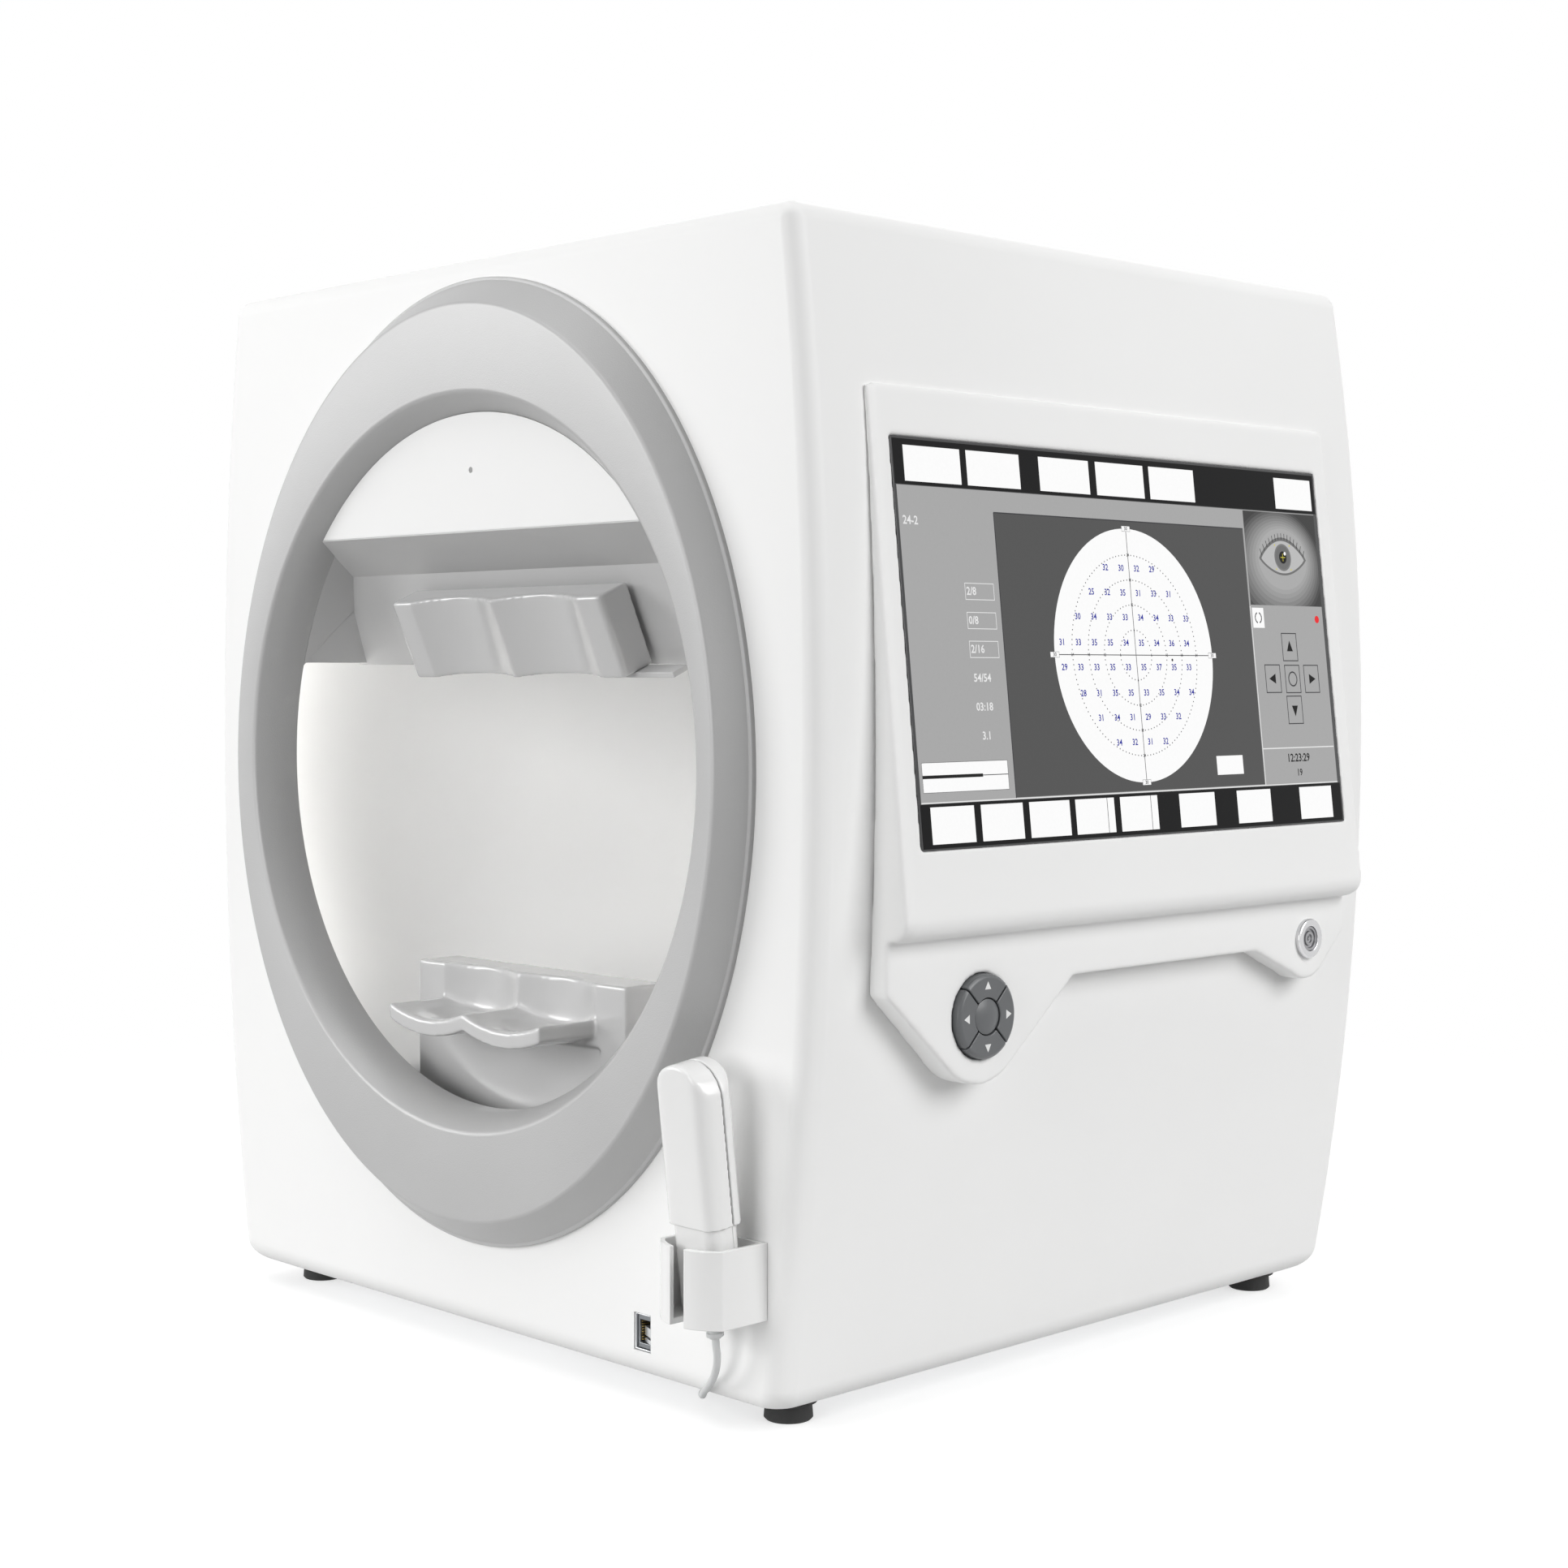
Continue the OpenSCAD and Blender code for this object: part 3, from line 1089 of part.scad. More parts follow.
// The handset's outline seen from the front: straight sides and a half-round top
module hand_front(d) rotate([90, 0, 0]) linear_extrude(2 * hand_d, center = true) {
    translate([-hand_w / 2 + d, 0]) square([hand_w - 2 * d, hand_len - hand_w / 2]);
    translate([0, hand_len - hand_w / 2]) circle(hand_w / 2 - d);
}
module hand_body(d, y0, y1, z0, z1) intersection() {
    translate([0, 0, z0]) linear_extrude(z1 - z0) hand_plan(d, y0, y1);
    hand_front(d);
}
seam_gap = 0.5;
module handset_shell() color("White") on_hand() difference() {
    union() {
        hand_body(0, hand_seam, hand_d, button_z0, hand_len);
        hand_body(neck_in, hand_seam, hand_d, 0, button_z0 + 1);
    }
    hand_body(neck_in + shell_t, -hand_d, hand_d - shell_t, shell_t + neck_in, hand_len);
    rod_z(cord_d / 2 + 1.2, -1, shell_t + neck_in + 1, 0, 0);
}
module handset_neck() color("White") on_hand() difference() {
    hand_body(neck_in, -hand_d, hand_seam - seam_gap / 2, 0, neck_len);
    hand_body(neck_in + shell_t, -hand_d, hand_d, shell_t + neck_in, neck_len - shell_t);
    rod_z(cord_d / 2 + 1.2, -1, shell_t + neck_in + 1, 0, 0);
}
module handset_button() color("White") on_hand() difference() {
    hand_body(0, -hand_d, hand_seam - button_travel - fit_gap, button_z0, hand_len);
    difference() {
        hand_body(shell_t, -hand_d, hand_d, button_z0 - 1, hand_len - shell_t);
        box([-3, -hand_d, plunger_z],
            [3, hand_seam - plunger_h - button_travel - fit_gap, plunger_z + 6]);
    }
}
plunger_h = 4;
plunger_z = neck_len + 24;
module handset_switch() color("DarkGreen") on_hand() {
    box([-9, hand_seam, neck_len + 6], [9, hand_seam + board_t, hand_len - 24]);
    box([-3, hand_seam - plunger_h, plunger_z], [3, hand_seam + eps, plunger_z + 6]);
    for (z = [neck_len + 9, hand_len - 28])
        box([-4, hand_seam + board_t - eps, z - 2], [4, hand_d / 2 - shell_t - neck_in, z + 2]);
}
relief_len = 14;
relief_r = 4.2;
module handset_strain_relief() color("#c8caca") on_hand() {
    rod_z(cord_d / 2 + 1.1, -relief_len, shell_t + neck_in, 0, 0);
    for (z = [-8.5, -12]) rod_z(relief_r, z - 1, z + 1, 0, 0);
    rod_z(relief_r, shell_t + neck_in, shell_t + neck_in + 2, 0, 0);
}

// Holster: a cup with a round front, slotted for the cord
holster_t = 2.5;
holster_arc_r = 29;
holster_corner = 3;
slot_w = 9;
module holster_plan(d) intersection() {
    translate([-holster_w / 2 + d, -holster_d + d]) square([holster_w - 2 * d, holster_d - 2 * d]);
    translate([0, -holster_d + holster_arc_r]) union() {
        circle(holster_arc_r - d, $fn = 120);
        translate([-holster_w, 0]) square([2 * holster_w, holster_d]);
    }
}
module holster() color("White") translate([hand_x, front_y, holster_z]) difference() {
    linear_extrude(holster_h) holster_plan(0);
    translate([0, 0, holster_floor_t]) linear_extrude(holster_h) holster_plan(holster_t);
    box([-slot_w / 2, -holster_d - 1, -1], [slot_w / 2, hand_y - front_y, holster_h + 1]);
    rod_z(relief_r + 1.3, -1, holster_floor_t + 1, 0, hand_y - front_y);
}

// Cord: it drops from the strain relief, runs under the casing and ends in a coil and a plug
cord_r = cord_d / 2;
cord_axis = [0, sin(hand_lean), -cos(hand_lean)];
cord_exit = [hand_x, hand_y + relief_len * sin(hand_lean), hand_z - relief_len * cos(hand_lean)];
coil_c = [70, -70];
coil_z = 3.2;
coil_turns = 5;
coil_layers = 2;
coil_r0 = 9;
coil_pitch = cord_d + 0.9;
coil_steps = 24;
cord_sides = 8;
coil_sides = 6;
// Points of the free stretch, chosen by hand: the drop, the bend under the front edge and the run to
// the coil
cord_run = [[200.4, -235.6, 38.5], [197.6, -233.8, 32], [192.6, -231.2, 26.2], [185.5, -227.6, 20.6],
    [176.5, -222.3, 15], [167, -214.5, 10], [156, -205, 6.5], [146, -193, 4.3], [139, -178, 3.4],
    [136, -162, 3.2], [134, -146, 3.2], [131, -130, 3.2], [126, -112, 3.2], [117.5, -94, 3.2],
    [107.5, -77, 3.2]];
function unit(v) = v / norm(v);
// Ring of points round a path point, square to the direction t
function ring_at(p, t, r, n) =
    let (u = unit(cross(t, abs(t[2]) > 0.9 ? [0, 1, 0] : [0, 0, 1])), w = cross(u, t))
    [for (i = [0:n - 1]) let (a = 360 * i / n) p + r * (cos(a) * u + sin(a) * w)];
// Tube along a list of points
module tube(path, r, n) {
    m = len(path);
    dirs = [for (i = [0:m - 1]) unit(path[min(i + 1, m - 1)] - path[max(i - 1, 0)])];
    points = [for (i = [0:m - 1]) each ring_at(path[i], dirs[i], r, n)];
    sides = [for (j = [0:m - 2]) for (i = [0:n - 1])
        let (a = j * n + i, b = j * n + (i + 1) % n)
        each [[a, b, a + n], [b, b + n, a + n]]];
    caps = [for (i = [1:n - 2]) each [[0, i + 1, i],
        [(m - 1) * n, (m - 1) * n + i, (m - 1) * n + i + 1]]];
    polyhedron(points, concat(sides, caps));
}
// Coil: each layer spirals in or out, and climbs in the half turn where the spiral reverses
coil_r1 = coil_r0 + coil_pitch * coil_turns;
coil_layer_turns = coil_turns + 0.5;
coil_n = coil_layers * coil_turns * coil_steps + (coil_layers - 1) * coil_steps / 2;
coil_start = 30;
function coil_at(t) =
    let (k = min(floor(t / coil_layer_turns), coil_layers - 1), s = t - k * coil_layer_turns)
    let (q = min(s / coil_turns, 1), climb = max(s - coil_turns, 0) / 0.5)
    let (r = k % 2 == 0 ? coil_r1 - (coil_r1 - coil_r0) * q : coil_r0 + (coil_r1 - coil_r0) * q)
    let (a = coil_start + 360 * t)
    [coil_c[0] + r * cos(a), coil_c[1] + r * sin(a), coil_z + (k + climb) * coil_pitch];
coil_path = [for (i = [0:coil_n]) coil_at(i / coil_steps)];
// Least gap between points of the coil that lie more than half a turn apart along it
coil_gap = min([for (i = [0:2:coil_n]) for (j = [i
    + coil_steps / 2:coil_n]) norm(coil_path[i] - coil_path[j])]) - cord_d;
echo(coil_gap = coil_gap);
lead_in = unit(coil_path[1] - coil_path[0]);
coil_in = coil_path[0] - cord_d * lead_in;
cord_path = concat([cord_exit + fit_gap * cord_axis, cord_exit + 4 * cord_axis], cord_run,
    [coil_in - 8 * lead_in, coil_in - fit_gap * lead_in]);
lead_out = unit(coil_path[coil_n] - coil_path[coil_n - 1]);
coil_tail = 28;
coil_tail_steps = 4;
coil_end = [for (i = [1:coil_tail_steps]) coil_path[coil_n] + coil_tail * i / coil_tail_steps * lead_out];
coil_out = coil_end[coil_tail_steps - 1];
module response_cord() color("#d8dada") tube(cord_path, cord_r, cord_sides);
module cord_coil() color("#d8dada") tube(concat([coil_in], coil_path, coil_end), cord_r, coil_sides);
plug_len = 20;
plug_w = 11.6;
plug_top = cord_r + 1;
plug_bottom = fit_gap - coil_out[2];
plug_turn = atan2(lead_out[1], lead_out[0]);
// Plug: it lies on the table, with a spring tab on top and slots for its contacts
module cord_plug() color("#e8eaea") translate(coil_out) rotate([0, 0, plug_turn]) difference() {
    union() {
        box([0, -plug_w / 2, plug_bottom], [plug_len, plug_w / 2, plug_top]);
        box([6, -3, plug_top - eps], [plug_len - 1, 3, plug_top + 1.5]);
    }
    for (i = [0:7]) box([plug_len - 5, -4.5 + 1.2 * i, plug_bottom - 1],
        [plug_len + 1, -4 + 1.2 * i, plug_bottom + 1.5]);
}

main_shell();
rear_cover();
base_plate();
rubber_feet();
housing_screws();
opening_bezel();
bowl();
bowl_light_ring();
brow_panel();
brow_beam();
forehead_pad();
forehead_guides();
forehead_switch();
chin_rest();
chin_slide();
chin_lift_frame();
chin_x_rods();
chin_x_screw();
chin_x_motor();
chin_mount();
chin_z_rods();
chin_z_screw();
chin_z_motor();
projector_shelf();
lamp_house();
aperture_wheel();
wheel_motor();
lens_barrel();
scan_motor();
scan_yoke();
scan_mirror();
eye_camera();
screen_pod();
control_panel();
screen_glass();
lcd_module();
key_board();
key_up();
key_down();
key_left();
key_right();
key_middle();
power_ring();
power_cap();
front_socket();
mains_inlet();
mains_rocker();
fan_frame();
fan_rotor();
main_board();
power_supply();
holster();
handset_shell();
handset_neck();
handset_button();
handset_switch();
handset_strain_relief();
response_cord();
cord_coil();
cord_plug();
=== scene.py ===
import json
from math import ceil, cos, pi, radians, sin, sqrt, tan

import bmesh
import bpy
from bpy.props import FloatProperty, FloatVectorProperty, PointerProperty
from bpy.types import Operator, Panel, PropertyGroup
from mathutils import Matrix, Vector


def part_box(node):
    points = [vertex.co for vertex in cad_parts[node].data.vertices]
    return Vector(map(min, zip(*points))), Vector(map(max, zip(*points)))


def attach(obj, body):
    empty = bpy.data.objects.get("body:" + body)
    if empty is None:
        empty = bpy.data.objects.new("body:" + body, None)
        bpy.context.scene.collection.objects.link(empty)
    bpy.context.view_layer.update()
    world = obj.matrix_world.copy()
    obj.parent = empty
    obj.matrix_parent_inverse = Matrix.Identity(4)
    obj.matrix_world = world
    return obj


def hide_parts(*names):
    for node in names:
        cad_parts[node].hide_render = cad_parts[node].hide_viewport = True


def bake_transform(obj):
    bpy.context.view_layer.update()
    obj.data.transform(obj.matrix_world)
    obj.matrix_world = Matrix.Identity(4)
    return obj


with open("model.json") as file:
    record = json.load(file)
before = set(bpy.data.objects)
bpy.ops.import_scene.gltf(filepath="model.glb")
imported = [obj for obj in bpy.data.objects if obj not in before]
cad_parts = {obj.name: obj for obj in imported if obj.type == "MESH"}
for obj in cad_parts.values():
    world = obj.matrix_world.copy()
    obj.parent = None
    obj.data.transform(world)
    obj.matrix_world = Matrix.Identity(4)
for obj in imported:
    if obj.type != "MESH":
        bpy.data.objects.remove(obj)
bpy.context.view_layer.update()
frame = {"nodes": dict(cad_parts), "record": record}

bl_info = {
    "name": "Bowl perimeter",
    "version": (1, 0, 0),
    "blender": (4, 5, 0),
    "location": "View3D > Sidebar > Perimeter",
    "description": "Dresses the packed model of a table-top bowl perimeter and sets its studio",
    "category": "Object",
}

MM = 0.001


def length(name, text, value):
    """A size in metres that a user may change."""
    return FloatProperty(name=name, description=text, default=value, unit="LENGTH", precision=4)


def colour(name, text, value):
    """A linear colour that a user may change."""
    return FloatVectorProperty(name=name, description=text, default=value, subtype="COLOR",
                               size=3, min=0.0, max=1.0)


class PerimeterSizes(PropertyGroup):
    """Sizes of the casing, the bezel and the bowl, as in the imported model."""

    body_w: length("Casing width", "Width across the bulge of the side walls", 0.510)
    body_d: length("Casing depth", "Depth from the flat front to the middle of the back", 0.448)
    body_h: length("Casing height", "Height of the casing above its feet", 0.566)
    foot_h: length("Foot height", "Height of the rubber feet", 0.0125)
    bulge_z: length("Bulge height", "Height at which the casing is widest", 0.327)
    side_arc: length("Side arc", "Radius of the side walls' bulge", 1.850)
    back_arc: length("Back arc", "Radius of the back wall's bulge", 5.400)
    edge_r: length("Edge radius", "Radius of the upright edges at the top", 0.009)
    foot_edge_r: length("Lower edge radius", "Radius of the upright edges at the bottom", 0.012)
    top_r: length("Top radius", "Radius of the edge round the top", 0.010)
    bottom_r: length("Bottom radius", "Radius of the edge round the bottom", 0.0118)
    rear_w: length("Back cover width", "Width of the opening in the back wall", 0.380)
    rear_h: length("Back cover height", "Height of the opening in the back wall", 0.430)
    rear_z: length("Back cover middle", "Height of the back cover's middle", 0.2895)
    opening_z: length("Opening middle", "Height of the round opening's middle", 0.312)
    opening_r: length("Opening radius", "Radius at the back of the bezel's sleeve", 0.1835)
    bowl_r: length("Bowl radius", "Inner radius of the bowl", 0.232)
    cord_d: length("Cord diameter", "Diameter of the handset's cord", 0.0036)
    voxel: length("Moulding detail", "Cell size used to round moulded pieces", 0.0010)


class PerimeterColours(PropertyGroup):
    """Linear colours of the finishes."""

    casing: colour("Casing", "White moulded casing", (0.90, 0.90, 0.895))
    bezel: colour("Bezel", "Light grey grained bezel", (0.41, 0.41, 0.41))
    bowl: colour("Bowl", "Matt white bowl", (0.90, 0.90, 0.895))
    rest: colour("Rests", "Light grey chin rest and forehead pad", (0.53, 0.53, 0.53))
    beam: colour("Beam", "Grey brow beam", (0.55, 0.55, 0.55))
    keys: colour("Keys", "Dark grey arrow keys", (0.115, 0.12, 0.125))
    handset: colour("Handset", "White handset and holster", (0.82, 0.82, 0.815))
    cord: colour("Cord", "Light grey cord sheath", (0.60, 0.61, 0.61))


def sizes():
    """The sizes kept with the scene."""
    return bpy.context.scene.perimeter_sizes


def colours():
    """The colours kept with the scene."""
    return bpy.context.scene.perimeter_colours


# Finishes

COAT_ROUGH, LEAST_ROUGH = 0.12, 0.02
DRIFT_FROM, DRIFT_TO = 0.3, 0.7
BUMP_STRENGTH = 0.5
LIT_SKIN = {"Base Color": (0.01, 0.01, 0.01, 1.0), "Roughness": 0.22, "Specular IOR Level": 0.06}
PIXEL_SCALE, PIXEL_DIM = 700.0, 0.96
LAMP_COLOUR, LAMP_STRENGTH = (1.0, 0.985, 0.96), 9.5

# Each slot's finish: name, linear colour or the name of a colour in the panel, roughness, other settings
FINISHES = {
    "shell_white": ("casing white", "casing", 0.42,
                    dict(vary=0.012, blotch=5.0, grain=900.0, depth=0.00002, shine=0.2)),
    "cover_white": ("cover white", "casing", 0.48, dict(vary=0.02, grain=2200.0, depth=0.00006)),
    "bezel_grey": ("bezel grain", "bezel", 0.38, dict(grain=1500.0, depth=0.00016, shine=0.95)),
    "bowl_white": ("bowl coat", "bowl", 0.78, dict(vary=0.012, grain=1500.0, depth=0.00003)),
    "rest_grey": ("rest gloss", "rest", 0.2, dict(grain=700.0, depth=0.00002, coat=0.4)),
    "beam_grey": ("beam grain", "beam", 0.5, dict(grain=2400.0, depth=0.00007)),
    "key_grey": ("key grain", "keys", 0.33, dict(vary=0.06, grain=2600.0)),
    "black_plastic": ("black mould", (0.022, 0.022, 0.023), 0.5, dict(vary=0.15, depth=0.00006)),
    "rubber_black": ("foot rubber", (0.018, 0.018, 0.018), 0.72, dict(vary=0.2, depth=0.00012)),
    "sheet_steel": ("plated sheet", (0.60, 0.61, 0.62), 0.32,
                    dict(metallic=1.0, vary=0.06, grain=500.0, depth=0.00003, stretch=(0.1, 1.0, 1.0))),
    "rod_steel": ("ground rod", (0.66, 0.67, 0.68), 0.2,
                  dict(metallic=1.0, vary=0.05, grain=1500.0, depth=0.00002, stretch=(1.0, 1.0, 0.1))),
    "screw_steel": ("plated screw", (0.52, 0.53, 0.54), 0.3, dict(metallic=1.0, vary=0.08, blotch=60.0)),
    "screw_brass": ("turned brass", (0.68, 0.50, 0.20), 0.28,
                    dict(metallic=1.0, vary=0.08, grain=1200.0, stretch=(1.0, 0.2, 0.2))),
    "frame_aluminium": ("milled aluminium", (0.56, 0.57, 0.59), 0.36,
                        dict(metallic=1.0, vary=0.06, grain=900.0, stretch=(1.0, 0.15, 1.0))),
    "motor_black": ("motor paint", (0.03, 0.03, 0.033), 0.42, dict(vary=0.15, grain=1500.0)),
    "ring_chrome": ("switch chrome", (0.62, 0.62, 0.63), 0.2,
                    dict(metallic=1.0, vary=0.02, blotch=12.0, rough_span=0.02, depth=0.000004)),
    "screen_glass": ("screen glass", (0.012, 0.013, 0.015), 0.1,
                     dict(vary=0.2, depth=0.000002, rough_span=0.03, coat=0.4)),
    "panel_grey": ("folded back", (0.20, 0.21, 0.22), 0.4, dict(metallic=1.0, vary=0.08)),
    "board_green": ("board lacquer", (0.02, 0.15, 0.05), 0.3, dict(vary=0.25, blotch=220.0)),
    "handset_white": ("handset white", "handset", 0.16,
                      dict(vary=0.012, grain=500.0, depth=0.00001, rough_span=0.03)),
    "cord_grey": ("cord sheath", "cord", 0.5, dict(vary=0.04, blotch=40.0, grain=2500.0)),
    "plug_clear": ("plug body", (0.62, 0.63, 0.63), 0.22, dict(vary=0.05, blotch=60.0)),
    "mirror_front": ("front mirror", (0.86, 0.88, 0.9), 0.06,
                     dict(metallic=1.0, vary=0.02, depth=0.000002, rough_span=0.02)),
}


def link_nodes(tree, *links):
    """Links an output of one node to an input of another, each by its name or number."""
    for source, output, target, socket in links:
        tree.links.new(source.outputs[output], target.inputs[socket])


def add_node(tree, kind, x, y, **values):
    """A node at a place in the tree, with settings, or values of its inputs, by name."""
    node = tree.nodes.new(kind)
    node.location = (x, y)
    for key, value in values.items():
        if hasattr(node, key):
            setattr(node, key, value)
        else:
            node.inputs[key.replace("_", " ").title()].default_value = value
    return node


def shader_material(name, sockets):
    """A new material with values set on its shader's sockets."""
    mat = bpy.data.materials.new(name)
    mat.use_nodes = True
    shader = mat.node_tree.nodes["Principled BSDF"]
    for socket, value in sockets.items():
        shader.inputs[socket].default_value = value
    return mat, mat.node_tree, shader


def set_ramp(ramp, low, high):
    """Sets the colours at the two ends of a colour ramp."""
    for element, tone in zip(ramp.color_ramp.elements, (low, high)):
        element.color = (*tone, 1.0)


def finish_material(name, base, rough, metallic=0.0, vary=0.03, blotch=9.0, grain=1800.0, depth=0.00004,
                    rough_span=0.06, coat=0.0, stretch=(1.0, 1.0, 1.0), shine=0.5):
    """A procedural finish: slow colour drift, a fine moulded or ground grain and a drifting gloss."""
    found = bpy.data.materials.get(name)
    if found:
        return found
    mat, tree, shader = shader_material(name, {
        "Metallic": metallic, "Coat Weight": coat, "Coat Roughness": COAT_ROUGH, "Specular IOR Level": shine})
    coords = add_node(tree, "ShaderNodeTexCoord", -1200, 0)
    mapping = add_node(tree, "ShaderNodeMapping", -1020, 0)
    mapping.inputs["Scale"].default_value = stretch
    drift = add_node(tree, "ShaderNodeTexNoise", -800, 260, scale=blotch, detail=3.0)
    ramp = add_node(tree, "ShaderNodeValToRGB", -560, 260)
    ramp.color_ramp.elements[0].position = DRIFT_FROM
    ramp.color_ramp.elements[1].position = DRIFT_TO
    set_ramp(ramp, [max(0.0, c * (1.0 - vary)) for c in base], [min(1.0, c * (1.0 + vary)) for c in base])
    skin = add_node(tree, "ShaderNodeTexNoise", -800, -60, scale=grain, detail=2.0)
    span = add_node(tree, "ShaderNodeMapRange", -560, -20)
    span.inputs["To Min"].default_value = max(LEAST_ROUGH, rough - rough_span)
    span.inputs["To Max"].default_value = min(1.0, rough + rough_span)
    bump = add_node(tree, "ShaderNodeBump", -320, -260, strength=BUMP_STRENGTH, distance=depth)
    link_nodes(tree, (coords, "Object", mapping, "Vector"), (coords, "Object", drift, "Vector"),
               (mapping, "Vector", skin, "Vector"), (drift, "Fac", ramp, "Fac"),
               (ramp, "Color", shader, "Base Color"), (drift, "Fac", span, "Value"),
               (span, "Result", shader, "Roughness"), (skin, "Fac", bump, "Height"),
               (bump, "Normal", shader, "Normal"))
    return mat


def lit_material(name, base, strength=1.0):
    """A surface with its own light and a faint pixel grain, behind a smooth skin."""
    found = bpy.data.materials.get(name)
    if found:
        return found
    mat, tree, shader = shader_material(name, {**LIT_SKIN, "Emission Strength": strength})
    coords = add_node(tree, "ShaderNodeTexCoord", -900, 0)
    dots = add_node(tree, "ShaderNodeTexNoise", -700, 0, scale=PIXEL_SCALE, detail=1.0)
    ramp = add_node(tree, "ShaderNodeValToRGB", -460, 0)
    set_ramp(ramp, [c * PIXEL_DIM for c in base], base)
    link_nodes(tree, (coords, "Object", dots, "Vector"), (dots, "Fac", ramp, "Fac"),
               (ramp, "Color", shader, "Emission Color"))
    return mat


def slot_finish(slot):
    """The finish of one of the record's material slots."""
    if slot == "lamp_cream":
        return lit_material("lamp strip", LAMP_COLOUR, LAMP_STRENGTH)
    name, base, rough, other = FINISHES[slot]
    if isinstance(base, str):
        base = getattr(colours(), base)
    return finish_material(name, base, rough, **other)


# Making pieces

NODE_SLOT = {s["node"]: s["material_slot"] for s in frame["record"]["subparts"]}
NODE_BODY = {n: b for b, ns in frame["record"]["behaviour"]["bodies"].items() for n in ns}
JOIN_GAP, FLAT_ANGLE = 2e-5, radians(0.6)
POLE_GAP = 1e-7
SHARP = 35.0
SMOOTH_FACTOR = 0.5


def clamp(share):
    """A share kept between nought and one."""
    return min(max(share, 0.0), 1.0)


def new_object(name, mesh):
    """An object in the scene around a mesh."""
    obj = bpy.data.objects.new(name, mesh)
    bpy.context.scene.collection.objects.link(obj)
    return obj


def mesh_piece(name, verts, faces, sharp=SHARP):
    """A mesh object from points in metres, smooth except over sharp edges."""
    mesh = bpy.data.meshes.new(name)
    mesh.from_pydata([tuple(v) for v in verts], [], [tuple(f) for f in faces])
    mesh.validate()
    mesh.shade_smooth()
    mesh.set_sharp_from_angle(angle=radians(sharp))
    return new_object(name, mesh)


def settle(obj, body, slot, *nodes, finish=None):
    """Gives a piece its finish, its body and the nodes that it stands for."""
    obj.data.materials.clear()
    obj.data.materials.append(finish or slot_finish(slot))
    if nodes:
        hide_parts(*nodes)
    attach(obj, body)
    return obj


def face_outwards(obj, merge=0.0):
    """Turns all faces of a piece outwards, after joining points that lie closer than merge."""
    bm = bmesh.new()
    bm.from_mesh(obj.data)
    if merge:
        bmesh.ops.remove_doubles(bm, verts=bm.verts, dist=merge)
    bmesh.ops.recalc_face_normals(bm, faces=bm.faces)
    bm.to_mesh(obj.data)
    bm.free()


def grid_quads(rows, cols, wrap_rows=False, wrap_cols=False):
    """Quads between the points of a grid, numbered row by row, joined round where it wraps."""
    quads = []
    for j in range(rows if wrap_rows else rows - 1):
        for k in range(cols if wrap_cols else cols - 1):
            j2, k2 = (j + 1) % rows, (k + 1) % cols
            quads.append((j * cols + k, j * cols + k2, j2 * cols + k2, j2 * cols + k))
    return quads


def upright_circle(r, y, z, n):
    """Points of a circle in the middle of the casing's width that faces the front."""
    return [(r * cos(2 * pi * k / n), y, z + r * sin(2 * pi * k / n)) for k in range(n)]


def node_shape(node):
    """A clean copy of a node: joined corners, flat faces in one piece."""
    bm = bmesh.new()
    bm.from_mesh(frame["nodes"][node].data)
    bmesh.ops.remove_doubles(bm, verts=bm.verts, dist=JOIN_GAP)
    bmesh.ops.dissolve_limit(bm, angle_limit=FLAT_ANGLE, verts=bm.verts, edges=bm.edges)
    bm.verts.index_update()
    verts = [v.co.copy() for v in bm.verts]
    faces = [[v.index for v in f.verts] for f in bm.faces]
    bm.free()
    return verts, faces


def even_shading(obj, weight, keep_sharp):
    """Lets a piece's large faces set the shading of its edges."""
    even = obj.modifiers.new("even shading", "WEIGHTED_NORMAL")
    even.keep_sharp = keep_sharp
    even.weight = weight


def dressed(node, bevel, segments=3, sharp=32.0):
    """A node with its edges broken, in place of the node itself."""
    obj = mesh_piece(node + "_look", *node_shape(node), sharp)
    edge = obj.modifiers.new("broken edges", "BEVEL")
    edge.width = bevel
    edge.segments = segments
    edge.limit_method = "ANGLE"
    edge.angle_limit = radians(sharp)
    edge.use_clamp_overlap = True
    even_shading(obj, 80, keep_sharp=False)
    return settle(obj, NODE_BODY[node], NODE_SLOT[node], node)


def moulded(node, voxel, passes, *others, softness=None):
    """One or more nodes with softly rounded edges; softness gives each point its share of the rounding."""
    verts, faces = [], []
    for part in (node, *others):
        more, rings = node_shape(part)
        faces += [[len(verts) + i for i in ring] for ring in rings]
        verts += more
    obj = mesh_piece(node + "_moulded", verts, faces)
    cells = obj.modifiers.new("cells", "REMESH")
    cells.mode = "VOXEL"
    cells.voxel_size = voxel
    bake(obj)
    soft = obj.modifiers.new("soft edges", "SMOOTH")
    soft.factor = SMOOTH_FACTOR
    soft.iterations = passes
    if softness:
        group = obj.vertex_groups.new(name="soft")
        for v in obj.data.vertices:
            group.add([v.index], softness(v.co), "REPLACE")
        soft.vertex_group = group.name
    bake(obj)
    obj.data.shade_smooth()
    return settle(obj, NODE_BODY[node], NODE_SLOT[node], node, *others)


def bake(obj):
    """Applies a piece's modifiers to its mesh."""
    bpy.context.view_layer.update()
    shaped = obj.evaluated_get(bpy.context.evaluated_depsgraph_get())
    mesh = bpy.data.meshes.new_from_object(shaped)
    obj.modifiers.clear()
    old = obj.data
    obj.data = mesh
    bpy.data.meshes.remove(old)


